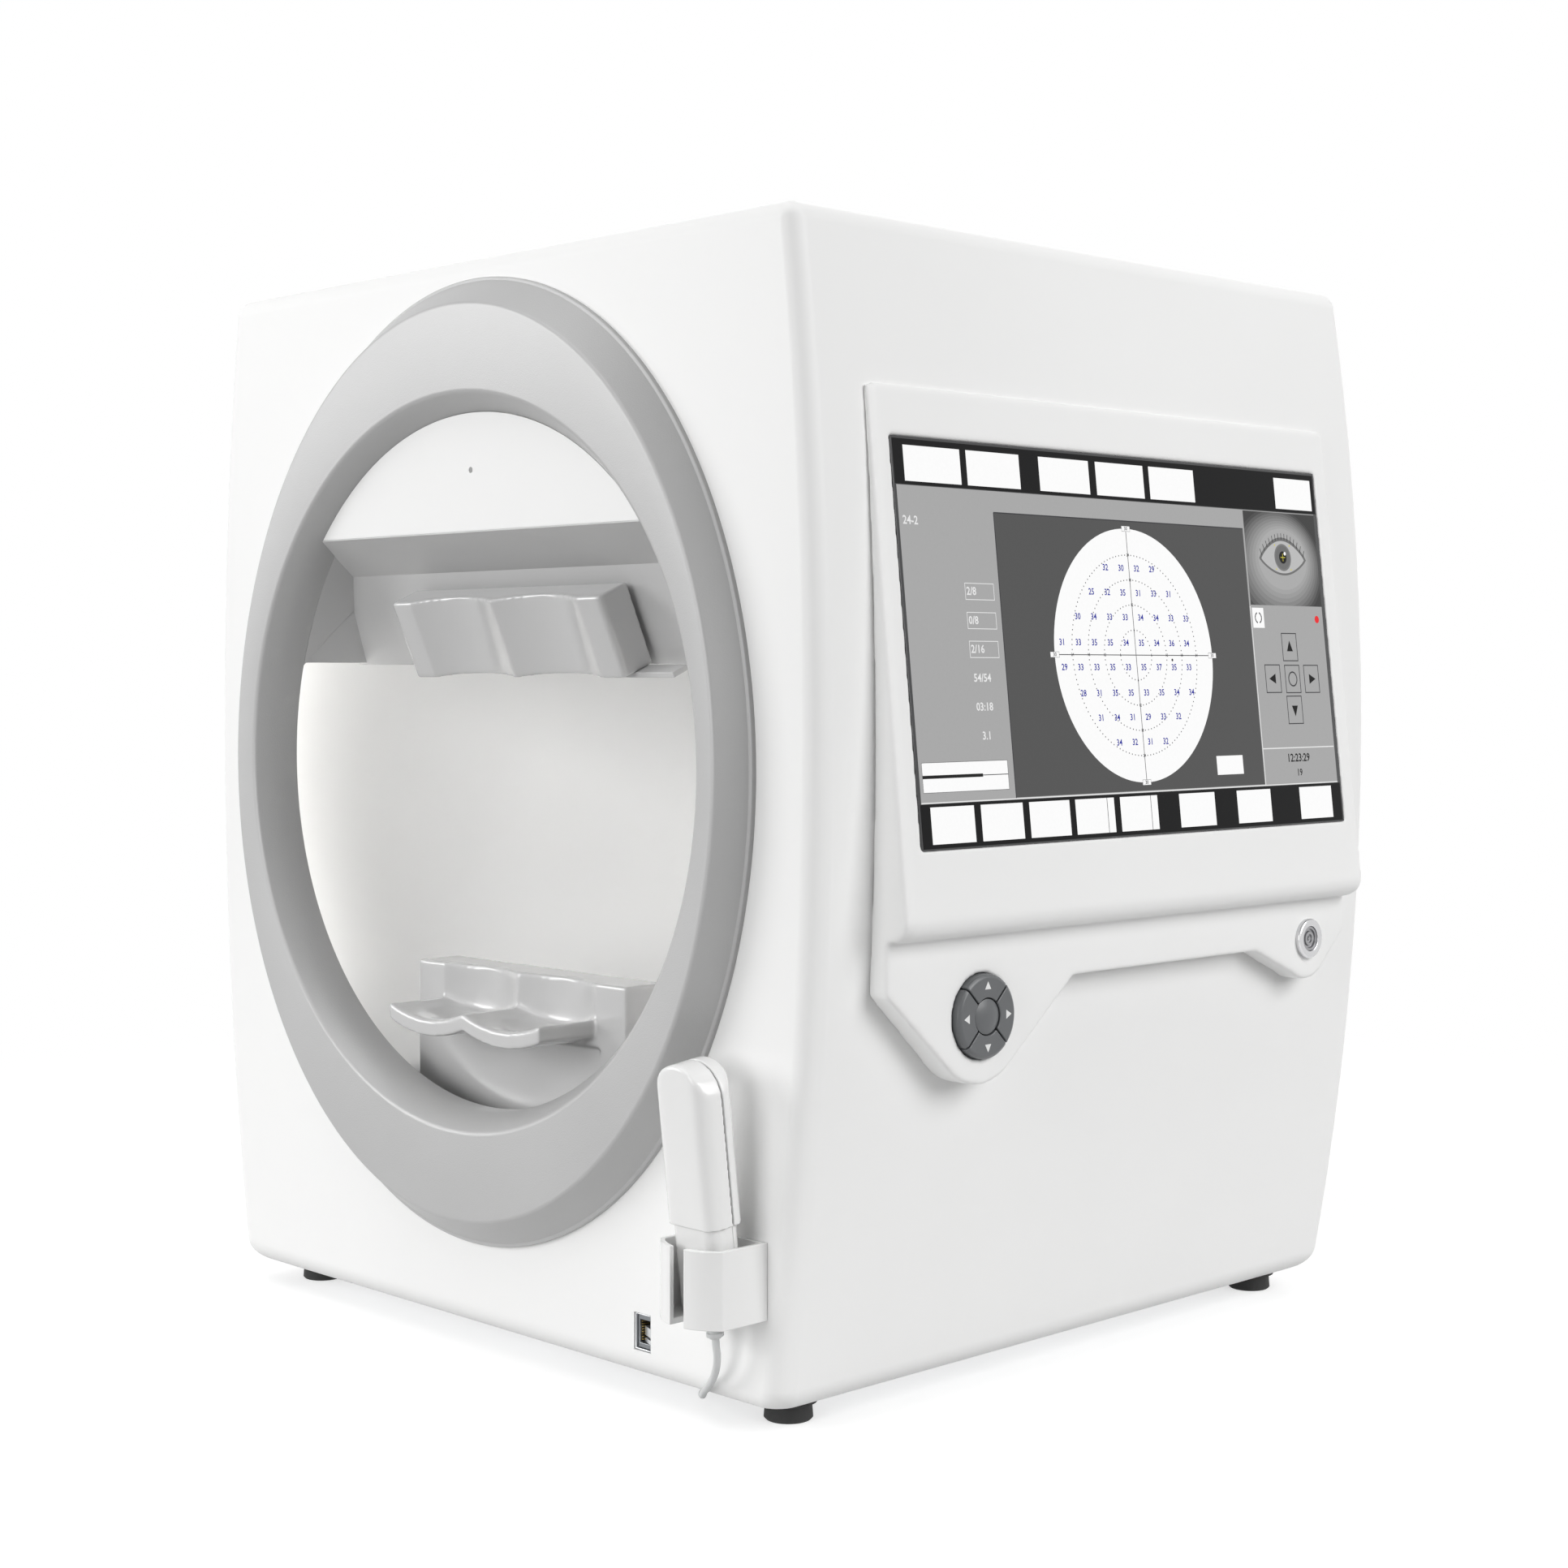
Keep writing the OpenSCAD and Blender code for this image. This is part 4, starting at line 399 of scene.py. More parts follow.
def rounded(points, radii, steps=6):
    """An open line of 2D points with its corners rounded."""
    line = []
    for i, p in enumerate(points):
        r = radii[i]
        if r <= 0 or i in (0, len(points) - 1):
            line.append(Vector(p))
            continue
        corner = Vector(p)
        back = (Vector(points[i - 1]) - corner).normalized()
        ahead = (Vector(points[i + 1]) - corner).normalized()
        half = back.angle(ahead) / 2
        run = r / tan(half)
        centre = corner + (back + ahead).normalized() * (r / sin(half))
        a = corner + back * run - centre
        b = corner + ahead * run - centre
        turn = a.angle_signed(b)
        for k in range(steps + 1):
            t = -turn * k / steps
            line.append(centre + Vector((a.x * cos(t) - a.y * sin(t), a.x * sin(t) + a.y * cos(t))))
    return line


def lathe_x(name, profile, y, z, sides=64, sharp=SHARP):
    """A turned piece about an axis along x: profile points are (x, radius)."""
    verts = []
    for k in range(sides):
        a = 2 * pi * k / sides
        verts += [(x, y + r * cos(a), z + r * sin(a)) for x, r in profile]
    obj = mesh_piece(name, verts, grid_quads(sides, len(profile), wrap_rows=True), sharp)
    face_outwards(obj, merge=POLE_GAP)
    obj.data.set_sharp_from_angle(angle=radians(sharp))
    return obj


# Casing

CORNER_STEPS, WALL_LEVELS, EDGE_TURNS = 8, 44, 8
TOP_CORNER_R = 0.001
LIP_H = 0.004
HOLE_MARGIN, HOLE_SIDES = 0.010, 120
JACK_CLEARANCE, JACK_WALL = 0.0003, 0.005
COVER_CORNER_R, COVER_STEP, COVER_WALL = 0.010, 0.012, 0.0024
QUARTERS = ((1, 1, 0), (-1, 1, 90), (-1, -1, 180), (1, -1, 270))


def bulged(width, arc, z):
    """How far a slightly bulging wall lies from the middle of the casing at a height."""
    return width / 2 - (arc - sqrt(arc ** 2 - (z - sizes().bulge_z) ** 2))


def back_line(z):
    """The back wall's y at a height."""
    return bulged(sizes().body_d, sizes().back_arc, z)


def casing_ring(z, inset, r):
    """A level of the casing: a rounded rectangle, drawn in on all sides."""
    s = sizes()
    w = bulged(s.body_w, s.side_arc, z) - inset
    front, back = -s.body_d / 2 + inset, back_line(z) - inset
    ring = []
    for sx, sy, start in QUARTERS:
        cx = sx * (w - r)
        cy = back - r if sy > 0 else front + r
        for i in range(CORNER_STEPS + 1):
            a = radians(start + 90 * i / CORNER_STEPS)
            ring.append((cx + r * cos(a), cy + r * sin(a), z))
    return ring


def casing_rings():
    """The casing's levels from the bottom up, and the numbers of the walls' first and last level."""
    s = sizes()
    z0, z1 = s.foot_h + s.bottom_r, s.foot_h + s.body_h - s.top_r
    rings = []
    for i in range(EDGE_TURNS):
        a = radians(90 - 90 * i / EDGE_TURNS)
        z = s.foot_h + s.bottom_r * (1 - sin(a))
        rings.append(casing_ring(z, s.bottom_r * (1 - cos(a)), s.foot_edge_r))
    first = len(rings)
    for i in range(WALL_LEVELS + 1):
        t = i / WALL_LEVELS
        rings.append(casing_ring(z0 + (z1 - z0) * t, 0.0, s.foot_edge_r + (s.edge_r - s.foot_edge_r) * t))
    last = len(rings) - 1
    for i in range(1, EDGE_TURNS + 1):
        a = radians(90 * i / EDGE_TURNS)
        r = s.edge_r - (s.edge_r - TOP_CORNER_R) * i / EDGE_TURNS
        rings.append(casing_ring(z1 + s.top_r * sin(a), s.top_r * (1 - cos(a)), r))
    return rings, first, last


def rounded_rectangle(w, h, r, cx, cz, step, steps=6):
    """Closed outline of a rounded rectangle in the x-z plane, with points along its sides."""
    line = []
    for sx, sz, start in QUARTERS:
        for k in range(steps + 1):
            a = radians(start + 90 * k / steps)
            line.append((cx + sx * (w / 2 - r) + r * cos(a), cz + sz * (h / 2 - r) + r * sin(a)))
    full = []
    for p, q in zip(line, line[1:] + line[:1]):
        n = max(1, ceil(sqrt((p[0] - q[0]) ** 2 + (p[1] - q[1]) ** 2) / step))
        full += [(p[0] + (q[0] - p[0]) * k / n, p[1] + (q[1] - p[1]) * k / n) for k in range(n)]
    return full


def loop_edges(bm, verts):
    """The edges that join points to a closed loop, new ones where there are none yet."""
    return [bm.edges.get(pair) or bm.edges.new(pair) for pair in zip(verts, verts[1:] + verts[:1])]


def turn_in(bm, loop, offset):
    """A narrow wall from a loop of points to a copy of it that lies an offset away."""
    inner = [bm.verts.new(v.co + Vector(offset)) for v in loop]
    for i in range(len(loop)):
        k = (i + 1) % len(loop)
        bm.faces.new((loop[i], loop[k], inner[k], inner[i]))


def casing_skin():
    """The white casing: bulging sides and back, a flat front with its round hole, rounded edges."""
    s = sizes()
    rings, first, last = casing_rings()
    bm = bmesh.new()
    grid = [[bm.verts.new(p) for p in ring] for ring in rings]
    n = len(grid[0])
    back_col, front_col = CORNER_STEPS, 3 * CORNER_STEPS + 2
    for j in range(len(grid) - 1):
        for i in range(n):
            if first <= j < last and i in (back_col, front_col):
                continue
            i2 = (i + 1) % n
            bm.faces.new((grid[j][i], grid[j][i2], grid[j + 1][i2], grid[j + 1][i]))
    bm.faces.new(grid[-1])
    turn_in(bm, grid[0], (0, 0, LIP_H))

    front = -s.body_d / 2
    circle = upright_circle(s.opening_r + HOLE_MARGIN, front, s.opening_z, HOLE_SIDES)
    hole = [bm.verts.new(p) for p in circle]
    lo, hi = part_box("front_socket")
    x0, x1 = lo.x - JACK_CLEARANCE, hi.x + JACK_CLEARANCE
    z0, z1 = lo.z - JACK_CLEARANCE, hi.z + JACK_CLEARANCE
    jack = [bm.verts.new((x, front, z)) for x, z in ((x0, z0), (x1, z0), (x1, z1), (x0, z1))]
    outline = rounded_rectangle(s.rear_w, s.rear_h, COVER_CORNER_R, 0.0, s.rear_z, COVER_STEP)
    cover = [bm.verts.new((x, back_line(z), z)) for x, z in outline]
    for col, loops, normal in ((front_col, (hole, jack), (0, -1, 0)), (back_col, (cover,), (0, 1, 0))):
        wall = [grid[j][col] for j in range(first, last + 1)]
        wall += [grid[j][col + 1] for j in range(last, first - 1, -1)]
        edges = [e for loop in (wall, *loops) for e in loop_edges(bm, loop)]
        bmesh.ops.triangle_fill(bm, use_beauty=True, edges=edges, normal=normal)
    turn_in(bm, jack, (0, JACK_WALL, 0))
    turn_in(bm, cover, (0, -COVER_WALL, 0))
    bmesh.ops.recalc_face_normals(bm, faces=bm.faces)
    mesh = bpy.data.meshes.new("casing_skin")
    bm.to_mesh(mesh)
    bm.free()
    mesh.shade_smooth()
    mesh.set_sharp_from_angle(angle=radians(SHARP))
    obj = new_object("casing_skin", mesh)
    even_shading(obj, 60, keep_sharp=True)
    return settle(obj, "casing", "shell_white", "main_shell")


class PERIMETER_OT_casing(Operator):
    """Builds the white casing with its smooth walls and openings"""

    bl_idname = "perimeter.casing"
    bl_label = "Casing"

    def execute(self, context):
        casing_skin()
        return {"FINISHED"}


# Opening

# The bezel's section in millimetres: half width and half height of its oval, depth from the front wall
BEZEL_CORNERS = (
    (214.5, 254.0, 0.0), (214.5, 254.0, -2.6), (212.7, 252.0, -2.9), (204.5, 239.0, -18.5),
    (190.0, 193.0, -16.0), (183.5, 183.5, -4.0), (183.5, 183.5, 8.7), (184.2, 184.2, 8.7),
    (184.2, 184.2, 5.5), (192.5, 192.5, 5.5), (192.5, 192.5, 0.0), (214.5, 254.0, 0.0),
)
BEZEL_ROUNDS = (0, 0.8, 0.5, 3.0, 4.0, 0, 0.2, 0, 0, 0, 0, 0)
BEZEL_SIDES, BEZEL_STEPS = 192, 8
BOWL_ROWS, BOWL_COLS, BOWL_WALL = 56, 144, 0.0024
BOWL_SET_BACK = 0.0085
RIM_LAP, RIM_STEP, RIM_OVER = 0.005, 0.003, 0.003
NOTCH_HALF_W, NOTCH_DEPTH, NOTCH_TOP = 0.128, 0.0755, 0.139
OPENING_SHARP = 40.0


def bezel_ring():
    """The grey bezel: a stepped foot, a sloping flank, a broad band and a lip that leads into the sleeve."""
    s = sizes()
    front = -s.body_d / 2
    wide, tall = (rounded([(c[i], c[2]) for c in BEZEL_CORNERS], BEZEL_ROUNDS, BEZEL_STEPS)[:-1]
                  for i in (0, 1))
    verts = []
    for k in range(BEZEL_SIDES):
        c, h = cos(2 * pi * k / BEZEL_SIDES), sin(2 * pi * k / BEZEL_SIDES)
        for p, q in zip(wide, tall):
            depth = p.y * c * c + q.y * h * h
            verts.append((p.x * MM * c, front + depth * MM, s.opening_z + q.x * MM * h))
    faces = grid_quads(BEZEL_SIDES, len(wide), wrap_rows=True, wrap_cols=True)
    obj = mesh_piece("bezel_ring", verts, faces, OPENING_SHARP)
    face_outwards(obj)
    obj.data.set_sharp_from_angle(angle=radians(OPENING_SHARP))
    return settle(obj, "casing", "bezel_grey", "opening_bezel")


def bowl_shell():
    """The matt bowl: a half sphere with its rim, open at the bottom for the chin rest."""
    s = sizes()
    y0 = -s.body_d / 2 + BOWL_SET_BACK
    rim_r = s.opening_r + RIM_LAP
    rows = [(s.bowl_r + RIM_OVER, y0 - RIM_STEP), (rim_r, y0 - RIM_STEP), (rim_r, y0)]
    for j in range(BOWL_ROWS):
        t = pi / 2 * j / BOWL_ROWS
        rows.append((s.bowl_r * cos(t), y0 + s.bowl_r * sin(t)))
    verts = [p for r, y in rows for p in upright_circle(r, y, s.opening_z, BOWL_COLS)]

    def in_notch(quad):
        corners = [verts[i] for i in quad]
        across = sum(abs(x) for x, _, _ in corners) / 4
        deep = sum(y for _, y, _ in corners) / 4
        up = sum(z for _, _, z in corners) / 4
        return across < NOTCH_HALF_W and deep < y0 + NOTCH_DEPTH and up < NOTCH_TOP

    faces = [quad for quad in grid_quads(len(rows), BOWL_COLS, wrap_cols=True) if not in_notch(quad)]
    obj = mesh_piece("bowl_shell", verts, faces, OPENING_SHARP)
    thick = obj.modifiers.new("wall", "SOLIDIFY")
    thick.thickness = BOWL_WALL
    thick.offset = 1.0
    return settle(obj, "casing", "bowl_white", "bowl")


class PERIMETER_OT_opening(Operator):
    """Builds the bezel, the bowl and the brow over the opening"""

    bl_idname = "perimeter.opening"
    bl_label = "Opening"

    def execute(self, context):
        bezel_ring()
        bowl_shell()
        dressed("brow_panel", 0.0006)
        dressed("brow_beam", 0.0003, 2)
        return {"FINISHED"}


# Rests

CUPS_DEPTH, THROAT_HALF_W = 0.0345, 0.078
THROAT_FADE_Z, THROAT_FADE_X = 0.004, 0.006
CUP_SHARE = 0.06
PAD_PASSES, CHIN_PASSES = 10, 420


def chin_softness(p, top):
    """Lets the hollow under the chin cups run out softly and keeps the cups' own edges."""
    below = (top - CUPS_DEPTH - p.z) / THROAT_FADE_Z
    within = (THROAT_HALF_W - abs(p.x)) / THROAT_FADE_X
    return CUP_SHARE + (1.0 - CUP_SHARE) * clamp(min(below, within))


class PERIMETER_OT_rests(Operator):
    """Builds the forehead pad and the chin rest with their rounded hollows"""

    bl_idname = "perimeter.rests"
    bl_label = "Rests"

    def execute(self, context):
        voxel = sizes().voxel
        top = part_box("chin_rest")[1].z
        moulded("forehead_pad", voxel, PAD_PASSES)
        moulded("chin_rest", voxel, CHIN_PASSES, softness=lambda p: chin_softness(p, top))
        dressed("forehead_guides", 0.0005)
        return {"FINISHED"}


# Screen side

# The plane of the glass passes through FACE_X at the height FACE_Z, and leans
SCREEN_LEAN = radians(6.1)
FACE_X, FACE_Z = 0.25045, 0.4945
POD_MIDDLE_Y = -0.001
SCREEN_Z = 0.373
GLASS_W, GLASS_H = 0.346, 0.196
GLASS_RATIO = GLASS_W / GLASS_H
PICTURE_X, LAYER_STEP = -0.0004, 0.00003
FIGURE_WEIGHT = 0.018
DPAD, POWER = (-0.1215, 0.1935), (0.1495, 0.211)
DPAD_CLEAR_R, POWER_CLEAR_R, GLASS_MARGIN, CRISP_FADE = 0.0225, 0.0128, 0.0015, 0.003
POD_VOXEL, POD_PASSES = 0.0012, 7

# Linear colours of the display: plain greys, then the others
GREYS = {"grey": 0.39, "field": 0.085, "white": 0.97, "pale": 0.80, "black": 0.006, "skin1": 0.05,
         "skin2": 0.16, "sclera": 0.50, "iris": 0.20, "pupil": 0.01}
SHADES = 9
GREYS.update({"tone" + str(i): 0.07 + 0.042 * i for i in range(SHADES)})
TONES = {name: (level, level, level) for name, level in GREYS.items()}
TONES.update({"bar": (0.003, 0.003, 0.0035), "dark": (0.045, 0.045, 0.05), "blue": (0.012, 0.02, 0.34),
              "red": (0.82, 0.02, 0.025), "yellow": (0.65, 0.58, 0.05)})

# Half widths of lines and sizes of figures on the display in metres
HAIR, RULE = 0.00022, 0.0003
AXIS_FIGURE, RING_FIGURE, FIELD_FIGURE, BOX_FIGURE = 0.0026, 0.0022, 0.0046, 0.0055

# The field chart in shares of the glass: its middle, its half axes and the step of its rings
CHART_U, CHART_V = 0.4965, 0.5285
CHART_RU, CHART_RV = 0.187, 0.334
RING_U, RING_V, RINGS = 0.0368, 0.0660, 4

# The chart's numbers: height of a row, place of its first number and the row itself, with an even step
FIELD_STEP = 0.0367
FIELD_ROWS = (
    (0.300, 0.441, (32, 30, 32, 29)),
    (0.365, 0.404, (25, 32, 35, 31, 33, 31)),
    (0.430, 0.368, (30, 34, 33, 33, 34, 34, 33, 33)),
    (0.497, 0.328, (31, 33, 35, 35, 34, 35, 34, 36, 34)),
    (0.561, 0.329, (29, 33, 33, 35, 33, 35, 37, 35, 33)),
    (0.628, 0.367, (28, 31, 35, 35, 33, 35, 34, 34)),
    (0.692, 0.403, (31, 34, 31, 29, 33, 32)),
    (0.757, 0.440, (34, 32, 31, 32)),
)


def screen_matrix():
    """Places a piece on the screen: local x points out of the glass, y to the right, z up."""
    face = FACE_X + (FACE_Z - SCREEN_Z) * tan(SCREEN_LEAN)
    return Matrix.Translation((face, POD_MIDDLE_Y, SCREEN_Z)) @ Matrix.Rotation(-SCREEN_LEAN, 4, "Y")


def glass_point(u, v, layer):
    """A place on the glass: u to the right and v down as shares of its size, and a layer."""
    return (PICTURE_X + LAYER_STEP * layer, (u - 0.5) * GLASS_W, (0.5 - v) * GLASS_H)


class Display:
    """Collects flat patches on the glass, each in a colour and on a layer of its own."""

    def __init__(self):
        self.verts, self.faces, self.kinds, self.names = [], [], [], []

    def kind(self, name):
        """The number of a colour, in the order of first use."""
        if name not in self.names:
            self.names.append(name)
        return self.names.index(name)

    def patch(self, points, name, layer):
        """A flat shape between corners."""
        base = len(self.verts)
        self.verts += [glass_point(u, v, layer) for u, v in points]
        self.faces.append(tuple(range(base, base + len(points))))
        self.kinds.append(self.kind(name))

    def block(self, u0, v0, u1, v1, name, layer):
        """A filled rectangle."""
        self.patch([(u0, v1), (u1, v1), (u1, v0), (u0, v0)], name, layer)

    def frame(self, u0, v0, u1, v1, name, layer, t):
        """The outline of a rectangle, as thick as a share t of the glass's width."""
        tv = t * GLASS_RATIO
        self.block(u0, v0, u1, v0 + tv, name, layer)
        self.block(u0, v1 - tv, u1, v1, name, layer)
        self.block(u0, v0, u0 + t, v1, name, layer)
        self.block(u1 - t, v0, u1, v1, name, layer)

    def disc(self, u, v, ru, rv, name, layer, n):
        """A filled oval."""
        turns = [2 * pi * k / n for k in range(n)]
        self.patch([(u + ru * cos(a), v - rv * sin(a)) for a in turns], name, layer)

    def dotted(self, u, v, ru, rv, name, layer, n, t):
        """An oval of dots."""
        tv = t * GLASS_RATIO
        for k in range(n):
            a = 2 * pi * k / n
            du, dv = u + ru * cos(a), v + rv * sin(a)
            self.block(du - t, dv - tv, du + t, dv + tv, name, layer)

    def line(self, u0, v0, u1, v1, t, name, layer):
        """A straight line of half width t in metres."""
        d = Vector(((u1 - u0) * GLASS_W, (v1 - v0) * GLASS_H)).normalized()
        du, dv = -d.y * t / GLASS_W, d.x * t / GLASS_H
        ends = [(u0 - du, v0 - dv), (u0 + du, v0 + dv), (u1 + du, v1 + dv), (u1 - du, v1 - dv)]
        self.patch(ends, name, layer)

    def figures(self, text, u, v, size, name, layer, align="CENTER"):
        """Plain numbers, set with the built-in letter shapes."""
        curve = bpy.data.curves.new("figures", "FONT")
        curve.body = text
        curve.size = size
        curve.align_x = align
        curve.align_y = "CENTER"
        curve.resolution_u = 2
        curve.offset = size * FIGURE_WEIGHT
        obj = new_object("figures", curve)
        bpy.context.view_layer.update()
        mesh = bpy.data.meshes.new_from_object(obj.evaluated_get(bpy.context.evaluated_depsgraph_get()))
        base = len(self.verts)
        x, y, z = glass_point(u, v, layer)
        self.verts += [(x, y + p.co.x, z + p.co.y) for p in mesh.vertices]
        for f in mesh.polygons:
            self.faces.append(tuple(base + i for i in f.vertices))
            self.kinds.append(self.kind(name))
        bpy.data.objects.remove(obj)
        bpy.data.curves.remove(curve)
        bpy.data.meshes.remove(mesh)

    def build(self, name):
        """One piece of all patches, on the glass."""
        mesh = bpy.data.meshes.new(name)
        mesh.from_pydata(self.verts, [], self.faces)
        for kind in self.names:
            mesh.materials.append(lit_material("display " + kind, TONES[kind]))
        for f, kind in zip(mesh.polygons, self.kinds):
            f.material_index = kind
        obj = new_object(name, mesh)
        mesh.transform(screen_matrix())
        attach(obj, "casing")
        return obj


def key_bars(d):
    """The bars of blank keys above and below, and the rules between the parts of the display."""
    d.block(0.004, 0.007, 0.996, 0.118, "bar", 1)
    d.block(0.006, 0.120, 0.990, 0.888, "grey", 1)
    d.block(0.004, 0.890, 0.996, 0.996, "bar", 1)
    for u0, u1 in ((0.024, 0.139), (0.152, 0.265), (0.308, 0.421),
                   (0.437, 0.550), (0.564, 0.675), (0.887, 0.987)):
        d.block(u0, 0.022, u1, 0.110, "white", 2)
    for u0 in (0.023, 0.125, 0.227, 0.328, 0.430, 0.571, 0.716, 0.882):
        d.block(u0, 0.897, u0 + 0.088, 0.986, "white", 2)
    for u0 in (0.400, 0.502):
        d.line(u0, 0.897, u0, 0.986, 0.0002, "dark", 3)
    d.block(0.201, 0.174, 0.792, 0.884, "field", 2)
    for u0, v0, u1, v1, name in ((0.201, 0.174, 0.792, 0.174, "dark"), (0.201, 0.174, 0.201, 0.886, "dark"),
                                 (0.794, 0.390, 0.794, 0.886, "pale"), (0.794, 0.786, 0.988, 0.786, "pale"),
                                 (0.006, 0.887, 0.990, 0.887, "pale")):
        d.line(u0, v0, u1, v1, RULE, name, 3)


def field_chart(d):
    """The oval chart with its dotted rings, its axes and its numbers."""
    cu, cv = CHART_U, CHART_V
    d.disc(cu, cv, CHART_RU, CHART_RV, "white", 3, 96)
    for k in range(1, RINGS + 1):
        d.dotted(cu, cv, RING_U * k, RING_V * k, "dark", 4, 32 * k, 0.0009)
    d.line(cu - CHART_RU, cv, cu + CHART_RU, cv, HAIR, "dark", 4)
    d.line(cu, cv - CHART_RV, cu, cv + CHART_RV, HAIR, "dark", 4)
    for su, sv in ((1, 0), (-1, 0), (0, 1), (0, -1)):
        u, v = cu + su * CHART_RU, cv + sv * CHART_RV
        label = (u - 0.010, v - 0.0075, u + 0.010, v + 0.0075)
        d.block(*label, "white", 5)
        d.frame(*label, "dark", 6, 0.0005)
        d.figures("30", u, v, AXIS_FIGURE, "dark", 6)
        for k in range(1, RINGS + 1):
            d.figures(str(6 * k), cu + su * RING_U * k, cv + sv * RING_V * k, RING_FIGURE, "dark", 5)
    for v, u0, numbers in FIELD_ROWS:
        for i, number in enumerate(numbers):
            d.figures(str(number), u0 + FIELD_STEP * i, v, FIELD_FIGURE, "blue", 5)
    d.disc(0.583, 0.541, 0.0022, 0.0039, "dark", 5, 16)
    d.block(0.672, 0.801, 0.739, 0.852, "white", 4)


def count_boxes(d):
    """The counts to the left of the chart and the gauge below them."""
    for v, text in ((0.374, "2/8"), (0.446, "0/8"), (0.517, "2/16")):
        d.frame(0.128, v - 0.021, 0.189, v + 0.021, "pale", 3, 0.0010)
        d.figures(text, 0.131, v, BOX_FIGURE, "pale", 3, "LEFT")
    for v, text in ((0.588, "54/54"), (0.659, "03:18"), (0.730, "3.1")):
        d.figures(text, 0.150, v, BOX_FIGURE, "pale", 3)
    d.figures("24-2", 0.013, 0.206, 0.0058, "pale", 3, "LEFT")
    d.block(0.012, 0.790, 0.188, 0.863, "white", 3)
    d.frame(0.012, 0.790, 0.188, 0.863, "dark", 4, 0.0006)
    d.block(0.012, 0.821, 0.135, 0.829, "black", 4)
    d.line(0.135, 0.825, 0.188, 0.825, 0.0002, "dark", 4)


def eye_window(d):
    """A plain drawing of an eye in the camera window, in greys."""
    u0, v0, u1, v1 = 0.796, 0.122, 0.990, 0.386
    d.block(u0, v0, u1, v1, "skin1", 2)
    cu, cv = (u0 + u1) / 2, (v0 + v1) / 2

    def oval(ru, rv, name, layer, du=0.0, dv=0.0, n=64):
        points = []
        for k in range(n):
            a = 2 * pi * k / n
            u, v = cu + du + ru * cos(a), cv + dv - rv * sin(a)
            points.append((min(max(u, u0), u1), min(max(v, v0), v1)))
        d.patch(points, name, layer)

    def almond(w, up, down, name, layer, n=24):
        top = [(cu - w + 2 * w * k / n, cv - up * sin(pi * k / n) ** 0.8) for k in range(n + 1)]
        low = [(cu + w - 2 * w * k / n, cv + down * sin(pi * k / n) ** 0.8) for k in range(1, n)]
        d.patch((top + low)[::-1], name, layer)

    for i in range(SHADES):
        t = i / (SHADES - 1)
        oval(0.118 - 0.052 * t, 0.165 - 0.078 * t, "tone" + str(i), 2.2 + 0.3 * i,
             -0.012 * (1 - t), 0.020 * (1 - t))
    almond(0.064, 0.062, 0.046, "skin2", 6)
    almond(0.058, 0.052, 0.040, "sclera", 7)
    oval(0.0225, 0.0385, "iris", 8, 0.0, -0.005)
    oval(0.0195, 0.0335, "skin2", 9, 0.0, -0.005)
    oval(0.0100, 0.0175, "pupil", 10, 0.0, -0.005)
    oval(0.0030, 0.0050, "white", 11, 0.006, -0.016)
    lashes = 15
    for k in range(lashes):
        t = (k + 0.5) / lashes
        u = cu - 0.060 + 0.120 * t
        v = cv - 0.056 * sin(pi * t) ** 0.8
        d.line(u, v, u + 0.010 * (t - 0.5), v - 0.018, HAIR, "pupil", 8)
    for su, sv in ((1, 1), (1, -1), (-1, 1), (-1, -1)):
        d.disc(cu + 0.020 * su, cv - 0.005 + 0.034 * sv, 0.0014, 0.0025, "yellow", 11, 10)
    d.line(cu - 0.006, cv - 0.005, cu + 0.006, cv - 0.005, 0.0002, "yellow", 11)
    d.line(cu, cv - 0.016, cu, cv + 0.006, 0.0002, "yellow", 11)


def move_keys(d):
    """The signs and the keys with arrows below the eye window, and the figures under them."""
    d.block(0.798, 0.394, 0.828, 0.450, "white", 3)
    for k in range(10):
        a, b = radians(36 * k), radians(36 * k) + 0.6
        if k not in (2, 7):
            d.line(0.813 + 0.0085 * cos(a), 0.422 + 0.0150 * sin(a),
                   0.813 + 0.0085 * cos(b), 0.422 + 0.0150 * sin(b), 0.0004, "dark", 4)
    d.disc(0.973, 0.423, 0.0060, 0.0106, "red", 3, 24)
    for u0, v0, turn in ((0.870, 0.463, 90), (0.818, 0.552, 180), (0.871, 0.553, None),
                         (0.923, 0.553, 0), (0.870, 0.640, 270)):
        u1, v1 = u0 + 0.041, v0 + 0.080
        d.frame(u0, v0, u1, v1, "dark", 3, 0.0016)
        uc, vc = (u0 + u1) / 2, (v0 + v1) / 2
        if turn is None:
            d.dotted(uc, vc, 0.011, 0.0194, "dark", 4, 40, 0.0011)
            continue
        corners = [radians(turn + k) for k in (0, 130, 230)]
        d.patch([(uc + 0.0105 * cos(a), vc - 0.0105 * sin(a) * GLASS_RATIO) for a in corners], "black", 4)
    d.figures("12:23:29", 0.888, 0.815, 0.0062, "black", 3)
    d.figures("19", 0.888, 0.856, 0.0052, "black", 3)


def display_picture():
    """The lit display: bars of blank keys, the field chart, counts, the eye window and its keys."""
    d = Display()
    for draw in (key_bars, field_chart, count_boxes, eye_window, move_keys):
        draw(d)
    d.build("display_picture")


def panel_softness(p):
    """Keeps the edges round the keys and the glass crisp."""
    near = []
    for (y, z), r in ((DPAD, DPAD_CLEAR_R), (POWER, POWER_CLEAR_R)):
        near.append(sqrt((p.y - y) ** 2 + (p.z - z) ** 2) - r)
    local = screen_matrix().inverted() @ p
    near.append(max(abs(local.y) - GLASS_W / 2, abs(local.z) - GLASS_H / 2) - GLASS_MARGIN)
    return clamp(min(near) / CRISP_FADE)


